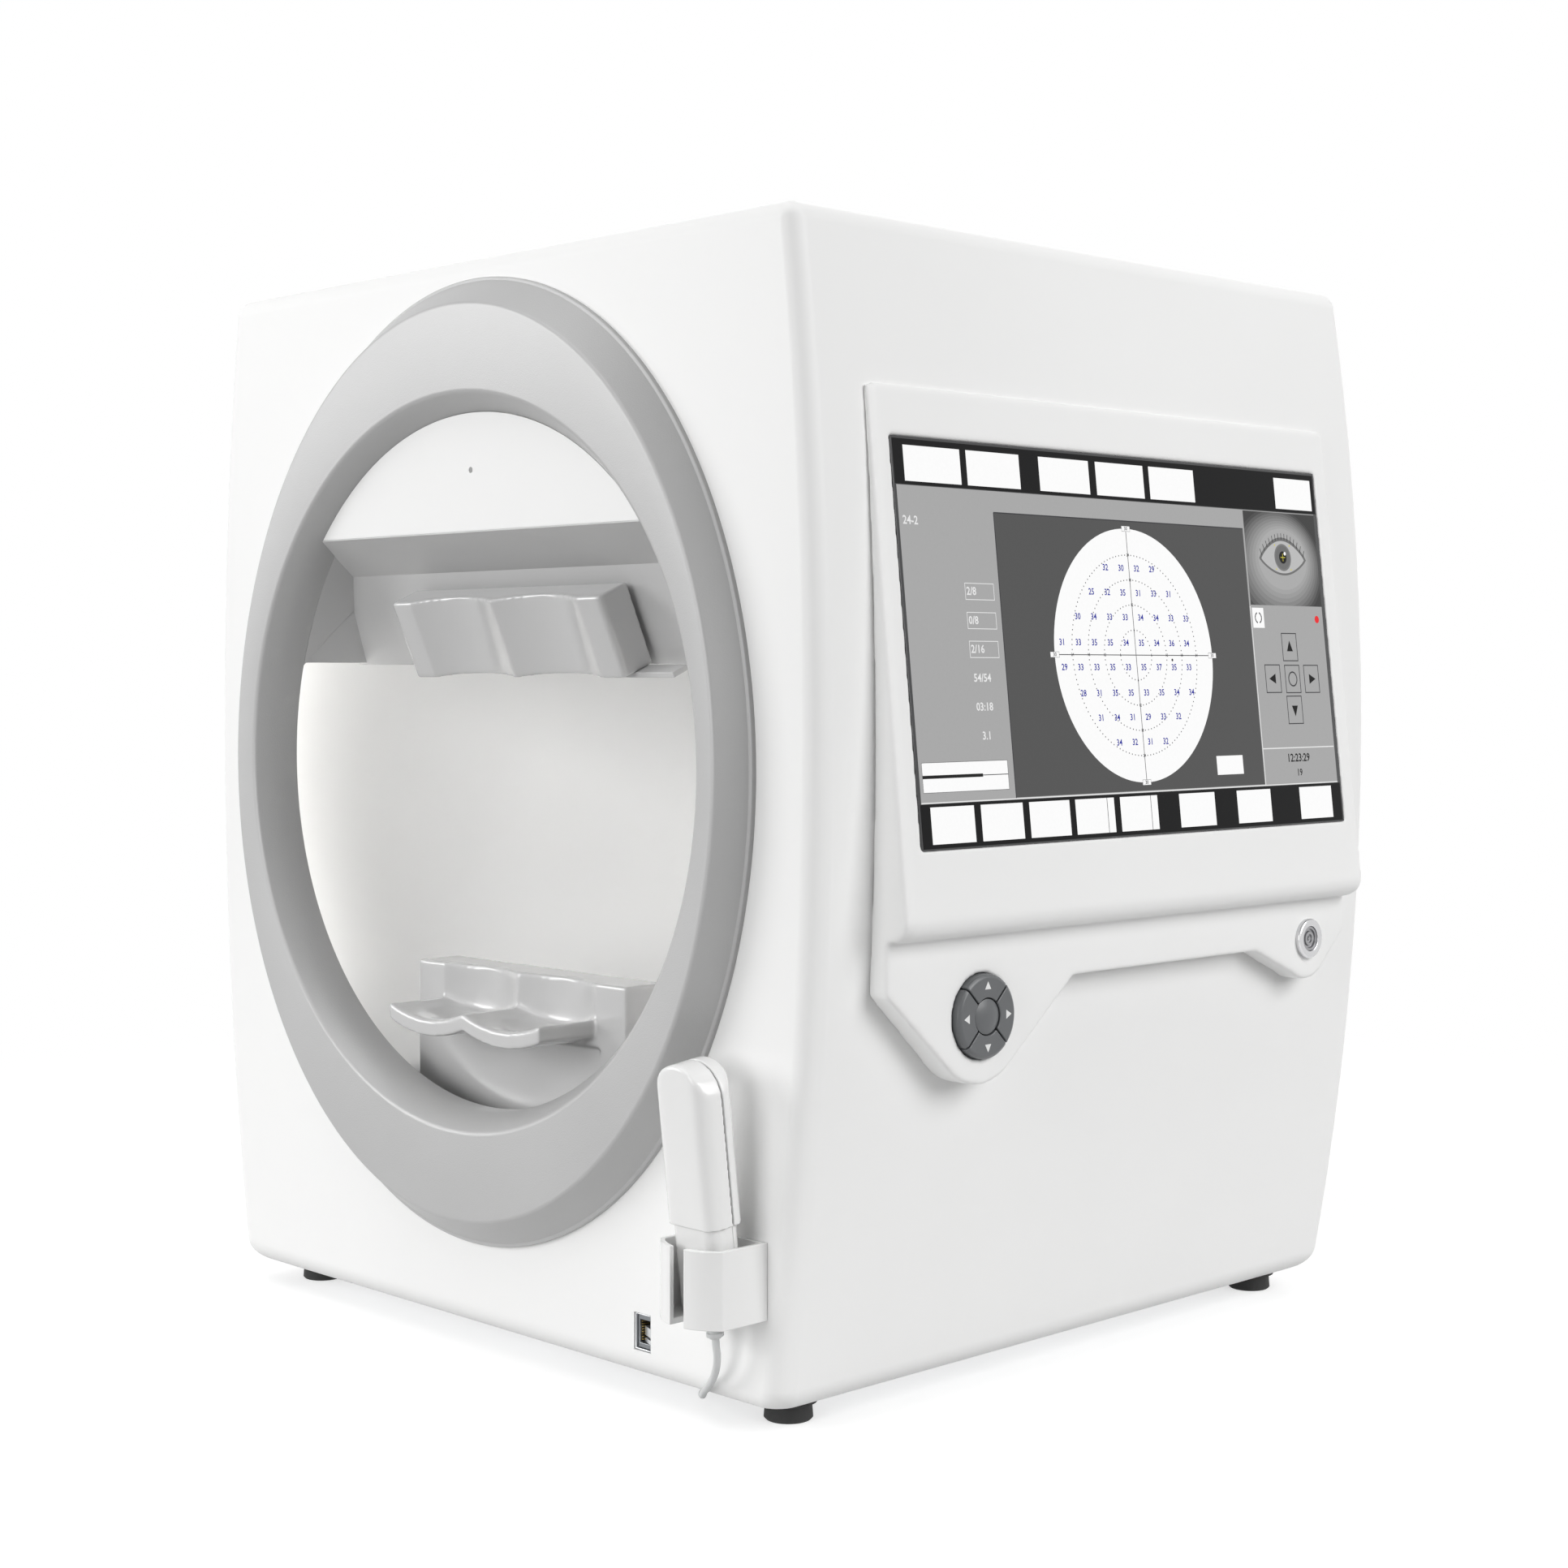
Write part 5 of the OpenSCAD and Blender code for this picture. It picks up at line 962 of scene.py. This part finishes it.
class PERIMETER_OT_screen(Operator):
    """Builds the screen pod with its glass and the lit display"""

    bl_idname = "perimeter.screen"
    bl_label = "Screen"

    def execute(self, context):
        moulded("screen_pod", POD_VOXEL, POD_PASSES, "control_panel", softness=panel_softness)
        dressed("screen_glass", 0.0003, 2)
        display_picture()
        return {"FINISHED"}


# Keys

KEY_TOP, PANEL_X = 0.268, 0.264
ARROW_SHAPE = ((0.0170, 0.0), (0.0132, 0.0022), (0.0132, -0.0022))
ARROW_PROUD, ARROW_T = 0.00004, 0.0003
ARROW_FACES = ((0, 1, 2), (3, 5, 4), (0, 3, 4, 1), (1, 4, 5, 2), (2, 5, 3, 0))
DOME_R, DOME_PROUD, DOME_DROP, DOME_CURVE, DOME_STEPS = 0.0085, 0.0006, 0.0014, 2.2, 12
DOME_SIDE = ((-0.0016, DOME_R), (-0.0070, DOME_R))

# The power switch's sections in millimetres: height over the panel and radius
RING_CORNERS = ((0.0, 11.0), (3.0, 11.0), (2.6, 6.9), (-4.0, 6.9))
RING_ROUNDS = (0, 1.2, 0.4, 0)
CAP_SECTION = ((-8.0, 6.8), (1.6, 6.8), (1.8, 6.6), (1.8, 5.4), (0.8, 5.1), (0.8, 4.2),
               (1.8, 3.9), (1.8, 2.4), (0.9, 2.1), (0.9, 1.3), (1.7, 1.0), (1.7, 0.0))
CAP_FINISH = ("switch cap", (0.33, 0.33, 0.34), 0.3)


def key_arrow(name, body, turn):
    """A small pale triangle let into an arrow key."""
    c, s = cos(radians(turn)), sin(radians(turn))
    top = KEY_TOP + ARROW_PROUD
    points = [(top, DPAD[0] + a * c - b * s, DPAD[1] + a * s + b * c) for a, b in ARROW_SHAPE]
    low = [(x - ARROW_T, y, z) for x, y, z in points]
    obj = mesh_piece(name, points + low, ARROW_FACES)
    face_outwards(obj)
    return settle(obj, body, "handset_white")


def middle_key():
    """The round middle key: a low dome with a soft shoulder."""
    section = []
    for k in range(DOME_STEPS + 1):
        t = k / DOME_STEPS
        section.append((KEY_TOP + DOME_PROUD - DOME_DROP * t ** DOME_CURVE, DOME_R * t))
    section += [(KEY_TOP + x, r) for x, r in DOME_SIDE]
    obj = lathe_x("key_middle_dome", section, *DPAD, sides=72, sharp=50.0)
    settle(obj, "middle_key", "key_grey", "key_middle")


def power_switch():
    """The metal power switch: a rolled ring and a cap with fine turned grooves."""
    ring = rounded([(PANEL_X + x * MM, r * MM) for x, r in RING_CORNERS], [r * MM for r in RING_ROUNDS])
    obj = lathe_x("power_ring_turned", [(p.x, p.y) for p in ring], *POWER)
    settle(obj, "casing", "ring_chrome", "power_ring")
    obj = lathe_x("power_cap_turned", [(PANEL_X + x * MM, r * MM) for x, r in CAP_SECTION], *POWER)
    dull = finish_material(*CAP_FINISH, metallic=1.0, vary=0.04, blotch=20.0, depth=0.000004)
    settle(obj, "power_button", "ring_chrome", "power_cap", finish=dull)


class PERIMETER_OT_keys(Operator):
    """Builds the arrow keys and the power switch"""

    bl_idname = "perimeter.keys"
    bl_label = "Keys"

    def execute(self, context):
        for node, body, turn in (("key_right", "right_key", 0), ("key_up", "up_key", 90),
                                 ("key_left", "left_key", 180), ("key_down", "down_key", 270)):
            dressed(node, 0.0010, 4)
            key_arrow(node + "_arrow", body, turn)
        middle_key()
        power_switch()
        return {"FINISHED"}


# Handset and jacks

# Where the handset stands in millimetres, how much its lean lifts it, and its foot in metres
STAND_X, STAND_Y, STAND_Z, STAND_RISE = 201.0, -239.0, 60.8, 9.4
HAND_LEAN = radians(6.8)
HAND_Y, HAND_Z = STAND_Y * MM, 0.0620
NECK_UP, NECK_FADE = 0.0415, 0.004
SEAM_CRISP, SEAM_FADE = 0.0006, 0.006
BUTTON_SEAM, SHELL_SEAM = 0.0021, 0.003
HAND_VOXEL, RELIEF_VOXEL = 0.0005, 0.0003
BOX_FACES = ((0, 1, 2, 3), (7, 6, 5, 4), (0, 4, 5, 1), (1, 5, 6, 2), (2, 6, 7, 3), (3, 7, 4, 0))
RIM_BEVEL, RIM_SHARP = 0.00025, 30.0

# The front jack: wall and floor of its shield, its insert from the shield's ends, contacts and springs
SHIELD_WALL, SHIELD_FLOOR = 0.0007, 0.001
INSERT_GAP, INSERT_FRONT, INSERT_BACK, INSERT_FLOOR = 0.0002, 0.0012, 0.0014, 0.006
MOUTH_WALLS = (0.0013, 0.0024, 0.0011, 0.0024)
CONTACTS, CONTACT_HALF_W, CONTACT_T = 8, 0.00028, 0.0004
CONTACT_X0, CONTACT_X1, CONTACT_FRONT, CONTACT_BACK = 0.0002, 0.0032, 0.0024, 0.0063
SPRING_LINE = ((0.0, 0.0004), (-0.0070, 0.0030), (-0.0040, 0.0075))
SPRING_GAP, SPRING_T = 0.0001, 0.0003

# The connectors in the back recess: middle, width and height, over one foot line on one face
PORTS = ((-0.024, 0.016, 0.014), (-0.006, 0.014, 0.008), (0.013, 0.014, 0.008), (0.034, 0.020, 0.012))
PORT_Y, PORT_Z = 0.21307, 0.1165
PORT_RIM, PORT_CORE_GAP = 0.0011, 0.0003
CORE_WALLS = (0.0014, 0.0012, 0.0014, 0.0022)
RIM_DEPTHS, CORE_DEPTHS = (0.0012, 0.0001, 0.0002), (0.0010, 0.0003, 0.0004)


def inset(rect, left, low, right, high):
    """A rectangle (x0, z0, x1, z1) drawn in on each of its sides."""
    return (rect[0] + left, rect[1] + low, rect[2] - right, rect[3] - high)


def ring_box(name, outer, inner, y0, y1, floor):
    """A frame along y between two rectangles (x0, z0, x1, z1), closed by a floor at depth floor."""
    def corners(rect, y):
        x0, z0, x1, z1 = rect
        return [(x0, y, z0), (x1, y, z0), (x1, y, z1), (x0, y, z1)]

    verts = corners(outer, y0) + corners(inner, y0) + corners(outer, y1) + corners(inner, floor)
    faces = [(12, 13, 14, 15), (8, 9, 10, 11)]
    for i in range(4):
        k = (i + 1) % 4
        faces += [(i, k, 4 + k, 4 + i), (i, k, 8 + k, 8 + i), (4 + i, 4 + k, 12 + k, 12 + i)]
    obj = mesh_piece(name, verts, faces, RIM_SHARP)
    face_outwards(obj)
    edge = obj.modifiers.new("broken edges", "BEVEL")
    edge.width = RIM_BEVEL
    edge.segments = 2
    return obj


def jack_contacts(mouth, front, back):
    """The row of sloping contacts in the jack's mouth."""
    verts, faces = [], []
    step = (mouth[3] - mouth[1]) / (CONTACTS + 1)
    y0, y1 = front + CONTACT_FRONT, back - CONTACT_BACK
    a, b = mouth[0] + CONTACT_X0, mouth[0] + CONTACT_X1
    side = ((a, y0), (a + CONTACT_T, y0), (b + CONTACT_T, y1), (b, y1))
    for i in range(CONTACTS):
        z = mouth[1] + step * (i + 1)
        faces += [tuple(len(verts) + k for k in f) for f in BOX_FACES]
        verts += [(x, y, z + dz) for dz in (-CONTACT_HALF_W, CONTACT_HALF_W) for x, y in side]
    settle(mesh_piece("jack_contacts", verts, faces), "casing", "screw_brass")


def jack_springs(mouth, wall, front):
    """The two bent springs at the jack's side wall."""
    verts, faces = [], []
    middle = (mouth[1] + mouth[3]) / 2
    line = [(wall - SPRING_GAP + x, front + y) for x, y in SPRING_LINE]
    for z0, z1 in ((mouth[1] + 0.0004, mouth[1] + 0.0024), (middle - 0.0020, middle + 0.0024)):
        base = len(verts)
        for shift in (0.0, SPRING_T):
            verts += [(x - shift, y, z) for z in (z0, z1) for x, y in line]
        for a in (base, base + 1):
            b, c, e = a + 1, a + 4, a + 3
            faces += [(a, b, c, e), (e + 6, c + 6, b + 6, a + 6), (a, a + 6, b + 6, b), (e, c, c + 6, e + 6)]
        faces += [(base, base + 3, base + 9, base + 6), (base + 2, base + 8, base + 11, base + 5)]
    settle(mesh_piece("jack_springs", verts, faces), "casing", "sheet_steel")


def front_jack():
    """The empty jack in the front wall: a folded metal shield, a grey insert, sprung contacts and springs."""
    lo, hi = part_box("front_socket")
    shield = (lo.x, lo.z, hi.x, hi.z)
    hollow = inset(shield, *[SHIELD_WALL] * 4)
    obj = ring_box("jack_shield", shield, hollow, lo.y, hi.y, hi.y - SHIELD_FLOOR)
    settle(obj, "casing", "sheet_steel", "front_socket")
    block = inset(hollow, *[INSERT_GAP] * 4)
    mouth = inset(block, *MOUTH_WALLS)
    obj = ring_box("jack_insert", block, mouth, lo.y + INSERT_FRONT, hi.y - INSERT_BACK, hi.y - INSERT_FLOOR)
    settle(obj, "casing", "panel_grey")
    jack_contacts(mouth, lo.y, hi.y)
    jack_springs(mouth, hollow[2], lo.y)


def rear_ports():
    """Metal rims and black cores on the connectors in the back recess."""
    for i, (x, w, h) in enumerate(PORTS):
        outer = (x - w / 2, PORT_Z, x + w / 2, PORT_Z + h)
        inner = inset(outer, *[PORT_RIM] * 4)
        edge, core = inset(inner, *[PORT_CORE_GAP] * 4), inset(inner, *CORE_WALLS)
        obj = ring_box("port_rim_" + str(i), outer, inner, *[PORT_Y + d for d in RIM_DEPTHS])
        settle(obj, "casing", "sheet_steel")
        obj = ring_box("port_core_" + str(i), edge, core, *[PORT_Y + d for d in CORE_DEPTHS])
        settle(obj, "casing", "black_plastic")


def handset_softness(p, side, seam):
    """Rounds the handset's outside and keeps its seam and the step above the neck crisp."""
    y, z = p.y - HAND_Y, p.z - HAND_Z
    depth = y * cos(HAND_LEAN) + z * sin(HAND_LEAN)
    up = z * cos(HAND_LEAN) - y * sin(HAND_LEAN)
    return clamp(min((side * (depth - seam) - SEAM_CRISP) / SEAM_FADE, abs(up - NECK_UP) / NECK_FADE))


class PERIMETER_OT_handset(Operator):
    """Builds the response handset, its holster and the jacks at the front and the back"""

    bl_idname = "perimeter.handset"
    bl_label = "Handset"

    def execute(self, context):
        moulded("handset_button", HAND_VOXEL, 90, softness=lambda p: handset_softness(p, -1, BUTTON_SEAM))
        moulded("handset_shell", HAND_VOXEL, 60, softness=lambda p: handset_softness(p, 1, SHELL_SEAM))
        dressed("handset_neck", 0.0008)
        dressed("holster", 0.0008)
        moulded("handset_strain_relief", RELIEF_VOXEL, 3)
        front_jack()
        rear_ports()
        return {"FINISHED"}


# Cord

# The cord in millimetres: its straight start, the route to the coil, and the coil with its tail
RELIEF_L, STRAIGHT_L = 14, 4
CORD_RUN = (
    (200.4, -235.6, 38.5), (197.6, -233.8, 32), (192.6, -231.2, 26.2), (185.5, -227.6, 20.6),
    (176.5, -222.3, 15), (167, -214.5, 10), (156, -205, 6.5), (146, -193, 4.3), (139, -178, 3.4),
    (136, -162, 3.2), (134, -146, 3.2), (131, -130, 3.2), (126, -112, 3.2), (117.5, -94, 3.2),
    (107.5, -77, 3.2),
)
RUN_STEPS, LEAD_INS = 4, (8, 0.3)
COIL_X, COIL_Y, COIL_Z = 70.0, -70.0, 3.2
COIL_TURNS, COIL_CLIMB, COIL_STEPS, COIL_START = 5, 0.5, 24, 30.0
COIL_INNER_R, COIL_PITCH = 9.0, 4.5
TAIL_L, TAIL_STEPS = 28, 4
CORD_SIDES, CORD_SHARP = 14, 60.0

# The tie's section across the coil's turns, its width and its thickness in metres
TIE_R, TIE_Z, TIE_LONG, TIE_HIGH, TIE_CORNER_R = 0.0202, 0.00545, 0.0300, 0.0092, 0.0028
TIE_HALF_W, TIE_T, TIE_TURN = 0.0035, 0.0006, radians(215)
TIE_STEP, TIE_CORNER_STEPS = 0.02, 5


def coil_points():
    """Two flat layers of turns: the lower one winds inwards, and the upper one back out."""
    growth = COIL_PITCH * COIL_TURNS
    layer_turns = COIL_TURNS + COIL_CLIMB
    coil = []
    for i in range(int((COIL_TURNS + layer_turns) * COIL_STEPS) + 1):
        t = i / COIL_STEPS
        layer = min(int(t / layer_turns), 1)
        q = t - layer * layer_turns
        part = min(q / COIL_TURNS, 1.0)
        climb = max(q - COIL_TURNS, 0.0) / COIL_CLIMB
        r = COIL_INNER_R + growth * (part if layer else 1.0 - part)
        a = radians(COIL_START + 360 * t)
        z = COIL_Z + (layer + climb) * COIL_PITCH
        coil.append(Vector((COIL_X + r * cos(a), COIL_Y + r * sin(a), z)))
    return coil


def cord_points():
    """The cord's route in metres: from the strain relief, under the casing, into the coil and to the plug."""
    axis = Vector((0, sin(HAND_LEAN), -cos(HAND_LEAN)))
    stand = Vector((STAND_X, STAND_Y, STAND_Z + STAND_RISE * sin(HAND_LEAN)))
    exit_point = stand + RELIEF_L * axis
    coil = coil_points()
    lead_in = (coil[1] - coil[0]).normalized()
    lead_out = (coil[-1] - coil[-2]).normalized()
    run = [exit_point, exit_point + STRAIGHT_L * axis] + [Vector(p) for p in CORD_RUN]
    run += [coil[0] - lead_in * back for back in LEAD_INS]
    tail = [coil[-1] + lead_out * TAIL_L * k / TAIL_STEPS for k in range(1, TAIL_STEPS + 1)]
    return [p * MM for p in smooth_line(run, RUN_STEPS) + coil + tail]


def smooth_line(points, steps):
    """A smooth line through points, by cubic pieces."""
    line = []
    for i in range(len(points) - 1):
        p0, p1, p2 = points[max(i - 1, 0)], points[i], points[i + 1]
        p3 = points[min(i + 2, len(points) - 1)]
        for k in range(steps):
            t = k / steps
            line.append(0.5 * ((2 * p1) + (p2 - p0) * t + (2 * p0 - 5 * p1 + 4 * p2 - p3) * t * t
                               + (3 * p1 - p0 - 3 * p2 + p3) * t ** 3))
    return line + [points[-1]]


def tube(name, path, r, sides):
    """A round tube along a line of points, with closed ends."""
    verts = []
    last = len(path) - 1
    side = None
    for i, p in enumerate(path):
        t = (path[min(i + 1, last)] - path[max(i - 1, 0)]).normalized()
        if side is None:
            side = t.cross(Vector((0, 1, 0))).normalized()
        side = (side - t * side.dot(t)).normalized()
        up = t.cross(side)
        turns = [2 * pi * k / sides for k in range(sides)]
        verts += [p + r * (cos(a) * side + sin(a) * up) for a in turns]
    faces = grid_quads(len(path), sides, wrap_cols=True)
    faces.append(tuple(range(sides - 1, -1, -1)))
    faces.append(tuple(last * sides + k for k in range(sides)))
    return mesh_piece(name, verts, faces, CORD_SHARP)


def cord_tie():
    """A flat band round the coil's turns, which holds them together."""
    centre = Vector((COIL_X * MM, COIL_Y * MM, 0.0))
    out = Vector((cos(TIE_TURN), sin(TIE_TURN), 0))
    side = Vector((-sin(TIE_TURN), cos(TIE_TURN), 0))
    outline = rounded_rectangle(TIE_LONG, TIE_HIGH, TIE_CORNER_R, TIE_R, TIE_Z, TIE_STEP, TIE_CORNER_STEPS)
    n = len(outline)
    verts, faces = [], []
    for w in (-TIE_HALF_W, TIE_HALF_W):
        for grow in (0.0, TIE_T):
            for r, z in outline:
                away = Vector((r - TIE_R, z - TIE_Z)).normalized() * grow
                verts.append(centre + out * (r + away.x) + side * w + Vector((0, 0, z + away.y)))
    for i in range(n):
        k = (i + 1) % n
        faces += [(i, k, n + k, n + i), (2 * n + k, 2 * n + i, 3 * n + i, 3 * n + k),
                  (i, 2 * n + i, 2 * n + k, k), (n + k, 3 * n + k, 3 * n + i, n + i)]
    obj = mesh_piece("cord_tie", verts, faces)
    face_outwards(obj)
    return obj


class PERIMETER_OT_cord(Operator):
    """Lays the handset's cord with its coil and plug"""

    bl_idname = "perimeter.cord"
    bl_label = "Cord"

    def execute(self, context):
        path = cord_points()
        obj = tube("handset_cord", path, sizes().cord_d / 2, CORD_SIDES)
        obj.data.materials.append(slot_finish("cord_grey"))
        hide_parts("response_cord", "cord_coil")
        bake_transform(obj)
        tie = settle(cord_tie(), "casing", "black_plastic")
        return {"FINISHED"}


# Studio

CAMERA_PLACE, CAMERA_TURN = (1.07593, -1.03775, 0.35960), (radians(90), 0.0, radians(46))
CAMERA_LENS, CAMERA_SENSOR, CAMERA_SHIFT, CAMERA_REACH = 58.32, 36.0, -0.0725, 50.0
WORLD_LIGHT, BACKDROP_LIGHT = 0.20, 1.0
FRONT_AIM = (0.0, -0.2, 0.33)

# Each lamp: name, place, aim, size in metres and power in watts
LAMPS = (
    ("key", (-1.95, -2.05, 1.0), FRONT_AIM, 1.2, 30.0),
    ("front", (0.25, -2.95, 0.8), FRONT_AIM, 1.6, 32.5),
    ("side", (2.5, 0.7, 1.5), (0.2, 0.0, 0.35), 1.8, 57.0),
    ("top", (-0.5, -1.3, 2.5), FRONT_AIM, 1.6, 17.0),
    ("back", (-1.9, 2.2, 1.7), (0.0, 0.0, 0.3), 2.0, 25.0),
)
FLOOR_HALF, FLOOR_TONE, FLOOR_GLOW = 12, 0.60, 0.58
FADE_FROM, FADE_TO = 0.55, 1.15


def seen_rays(tree, *kinds):
    """A node whose value is one for rays of the kinds named and nought for others."""
    rays = add_node(tree, "ShaderNodeLightPath", -800, 0)
    source, output = rays, kinds[0]
    for i, kind in enumerate(kinds[1:]):
        both = add_node(tree, "ShaderNodeMath", 180 * i - 600, 0, operation="ADD", use_clamp=True)
        link_nodes(tree, (source, output, both, 0), (rays, kind, both, 1))
        source, output = both, 0
    return source


def studio_camera(scene):
    """The camera of the photo's view."""
    lens = bpy.data.cameras.new("photo view")
    lens.lens = CAMERA_LENS
    lens.sensor_width = CAMERA_SENSOR
    lens.shift_y = CAMERA_SHIFT
    lens.clip_end = CAMERA_REACH
    camera = new_object("photo view", lens)
    camera.location = CAMERA_PLACE
    camera.rotation_euler = CAMERA_TURN
    scene.camera = camera


def studio_world(scene):
    """Plain white to look at, with little light of its own on the object."""
    world = bpy.data.worlds.new("studio")
    scene.world = world
    world.use_nodes = True
    tree = world.node_tree
    tree.nodes.clear()
    out = add_node(tree, "ShaderNodeOutputWorld", 600, 0)
    mix = add_node(tree, "ShaderNodeMixShader", 400, 0)
    soft = add_node(tree, "ShaderNodeBackground", 100, 100, strength=WORLD_LIGHT)
    white = add_node(tree, "ShaderNodeBackground", 100, -100, strength=BACKDROP_LIGHT)
    for light in (soft, white):
        light.inputs["Color"].default_value = (1.0, 1.0, 1.0, 1.0)
    seen = seen_rays(tree, "Is Camera Ray", "Is Glossy Ray", "Is Transmission Ray")
    link_nodes(tree, (seen, 0, mix, 0), (soft, 0, mix, 1), (white, 0, mix, 2), (mix, 0, out, "Surface"))


def floor_material():
    """A white floor that keeps the object's shadow and runs out into plain white."""
    mat = bpy.data.materials.new("floor white")
    mat.use_nodes = True
    tree = mat.node_tree
    tree.nodes.clear()
    out = add_node(tree, "ShaderNodeOutputMaterial", 700, 0)
    fade = add_node(tree, "ShaderNodeMixShader", 500, 0)
    add = add_node(tree, "ShaderNodeAddShader", 300, 100)
    matt = add_node(tree, "ShaderNodeBsdfDiffuse", 0, 200)
    matt.inputs["Color"].default_value = (FLOOR_TONE, FLOOR_TONE, FLOOR_TONE, 1.0)
    near = add_node(tree, "ShaderNodeEmission", 0, 60)
    far = add_node(tree, "ShaderNodeEmission", 0, -120)
    seen = seen_rays(tree, "Is Camera Ray", "Is Glossy Ray")
    glow = add_node(tree, "ShaderNodeMath", -200, 60, operation="MULTIPLY")
    glow.inputs[1].default_value = FLOOR_GLOW
    coords = add_node(tree, "ShaderNodeTexCoord", -800, -300)
    reach = add_node(tree, "ShaderNodeVectorMath", -600, -300, operation="LENGTH")
    span = add_node(tree, "ShaderNodeMapRange", -400, -300, interpolation_type="SMOOTHSTEP",
                    from_min=FADE_FROM, from_max=FADE_TO)
    link_nodes(tree, (seen, 0, glow, 0), (glow, 0, near, "Strength"), (seen, 0, far, "Strength"),
               (matt, 0, add, 0), (near, 0, add, 1), (coords, "Object", reach, 0),
               (reach, "Value", span, "Value"), (span, "Result", fade, 0), (add, 0, fade, 1),
               (far, 0, fade, 2), (fade, 0, out, "Surface"))
    return mat


class PERIMETER_OT_studio(Operator):
    """Sets the camera, the soft lights and the pale floor"""

    bl_idname = "perimeter.studio"
    bl_label = "Studio"

    def execute(self, context):
        scene = context.scene
        scene.view_settings.view_transform = "Standard"
        studio_camera(scene)
        studio_world(scene)
        for name, place, aim, size, watts in LAMPS:
            lamp = bpy.data.lights.new(name, "AREA")
            lamp.energy = watts
            lamp.size = size
            obj = new_object(name, lamp)
            obj.location = place
            obj.rotation_euler = (Vector(aim) - Vector(place)).to_track_quat("-Z", "Y").to_euler()
        mesh = bpy.data.meshes.new("floor")
        corners = [(x * FLOOR_HALF, y * FLOOR_HALF, 0) for x, y in ((-1, -1), (1, -1), (1, 1), (-1, 1))]
        mesh.from_pydata(corners, [], [(0, 1, 2, 3)])
        floor = new_object("floor", mesh)
        mesh.materials.append(floor_material())
        return {"FINISHED"}


class PERIMETER_OT_carried(Operator):
    """Gives every node that still shows its finish"""

    bl_idname = "perimeter.carried"
    bl_label = "Carried nodes"

    def execute(self, context):
        for node, obj in frame["nodes"].items():
            obj.data.materials.clear()
            obj.data.materials.append(slot_finish(NODE_SLOT[node]))
        return {"FINISHED"}


STEPS = (PERIMETER_OT_studio, PERIMETER_OT_cord, PERIMETER_OT_carried, PERIMETER_OT_casing,
         PERIMETER_OT_opening, PERIMETER_OT_rests, PERIMETER_OT_screen, PERIMETER_OT_keys,
         PERIMETER_OT_handset)


class PERIMETER_PT_panel(Panel):
    """Lists the steps that dress the perimeter"""

    bl_idname = "PERIMETER_PT_panel"
    bl_label = "Bowl perimeter"
    bl_space_type = "VIEW_3D"
    bl_region_type = "UI"
    bl_category = "Perimeter"

    def draw(self, context):
        column = self.layout.column(align=True)
        for step in STEPS:
            column.operator(step.bl_idname, text=step.bl_label)
        for group in (context.scene.perimeter_sizes, context.scene.perimeter_colours):
            box = self.layout.box()
            for name in group.__annotations__:
                box.prop(group, name)


CLASSES = (PerimeterSizes, PerimeterColours) + STEPS + (PERIMETER_PT_panel,)


def register():
    """Adds the classes and their settings to Blender."""
    for cls in CLASSES:
        bpy.utils.register_class(cls)
    bpy.types.Scene.perimeter_sizes = PointerProperty(type=PerimeterSizes)
    bpy.types.Scene.perimeter_colours = PointerProperty(type=PerimeterColours)


def unregister():
    """Takes the settings and the classes out again."""
    del bpy.types.Scene.perimeter_colours
    del bpy.types.Scene.perimeter_sizes
    for cls in reversed(CLASSES):
        bpy.utils.unregister_class(cls)


def main():
    """Runs the steps in order."""
    register()
    for step in STEPS:
        group, name = step.bl_idname.split(".")
        getattr(getattr(bpy.ops, group), name)()


if __name__ == "__main__":
    main()
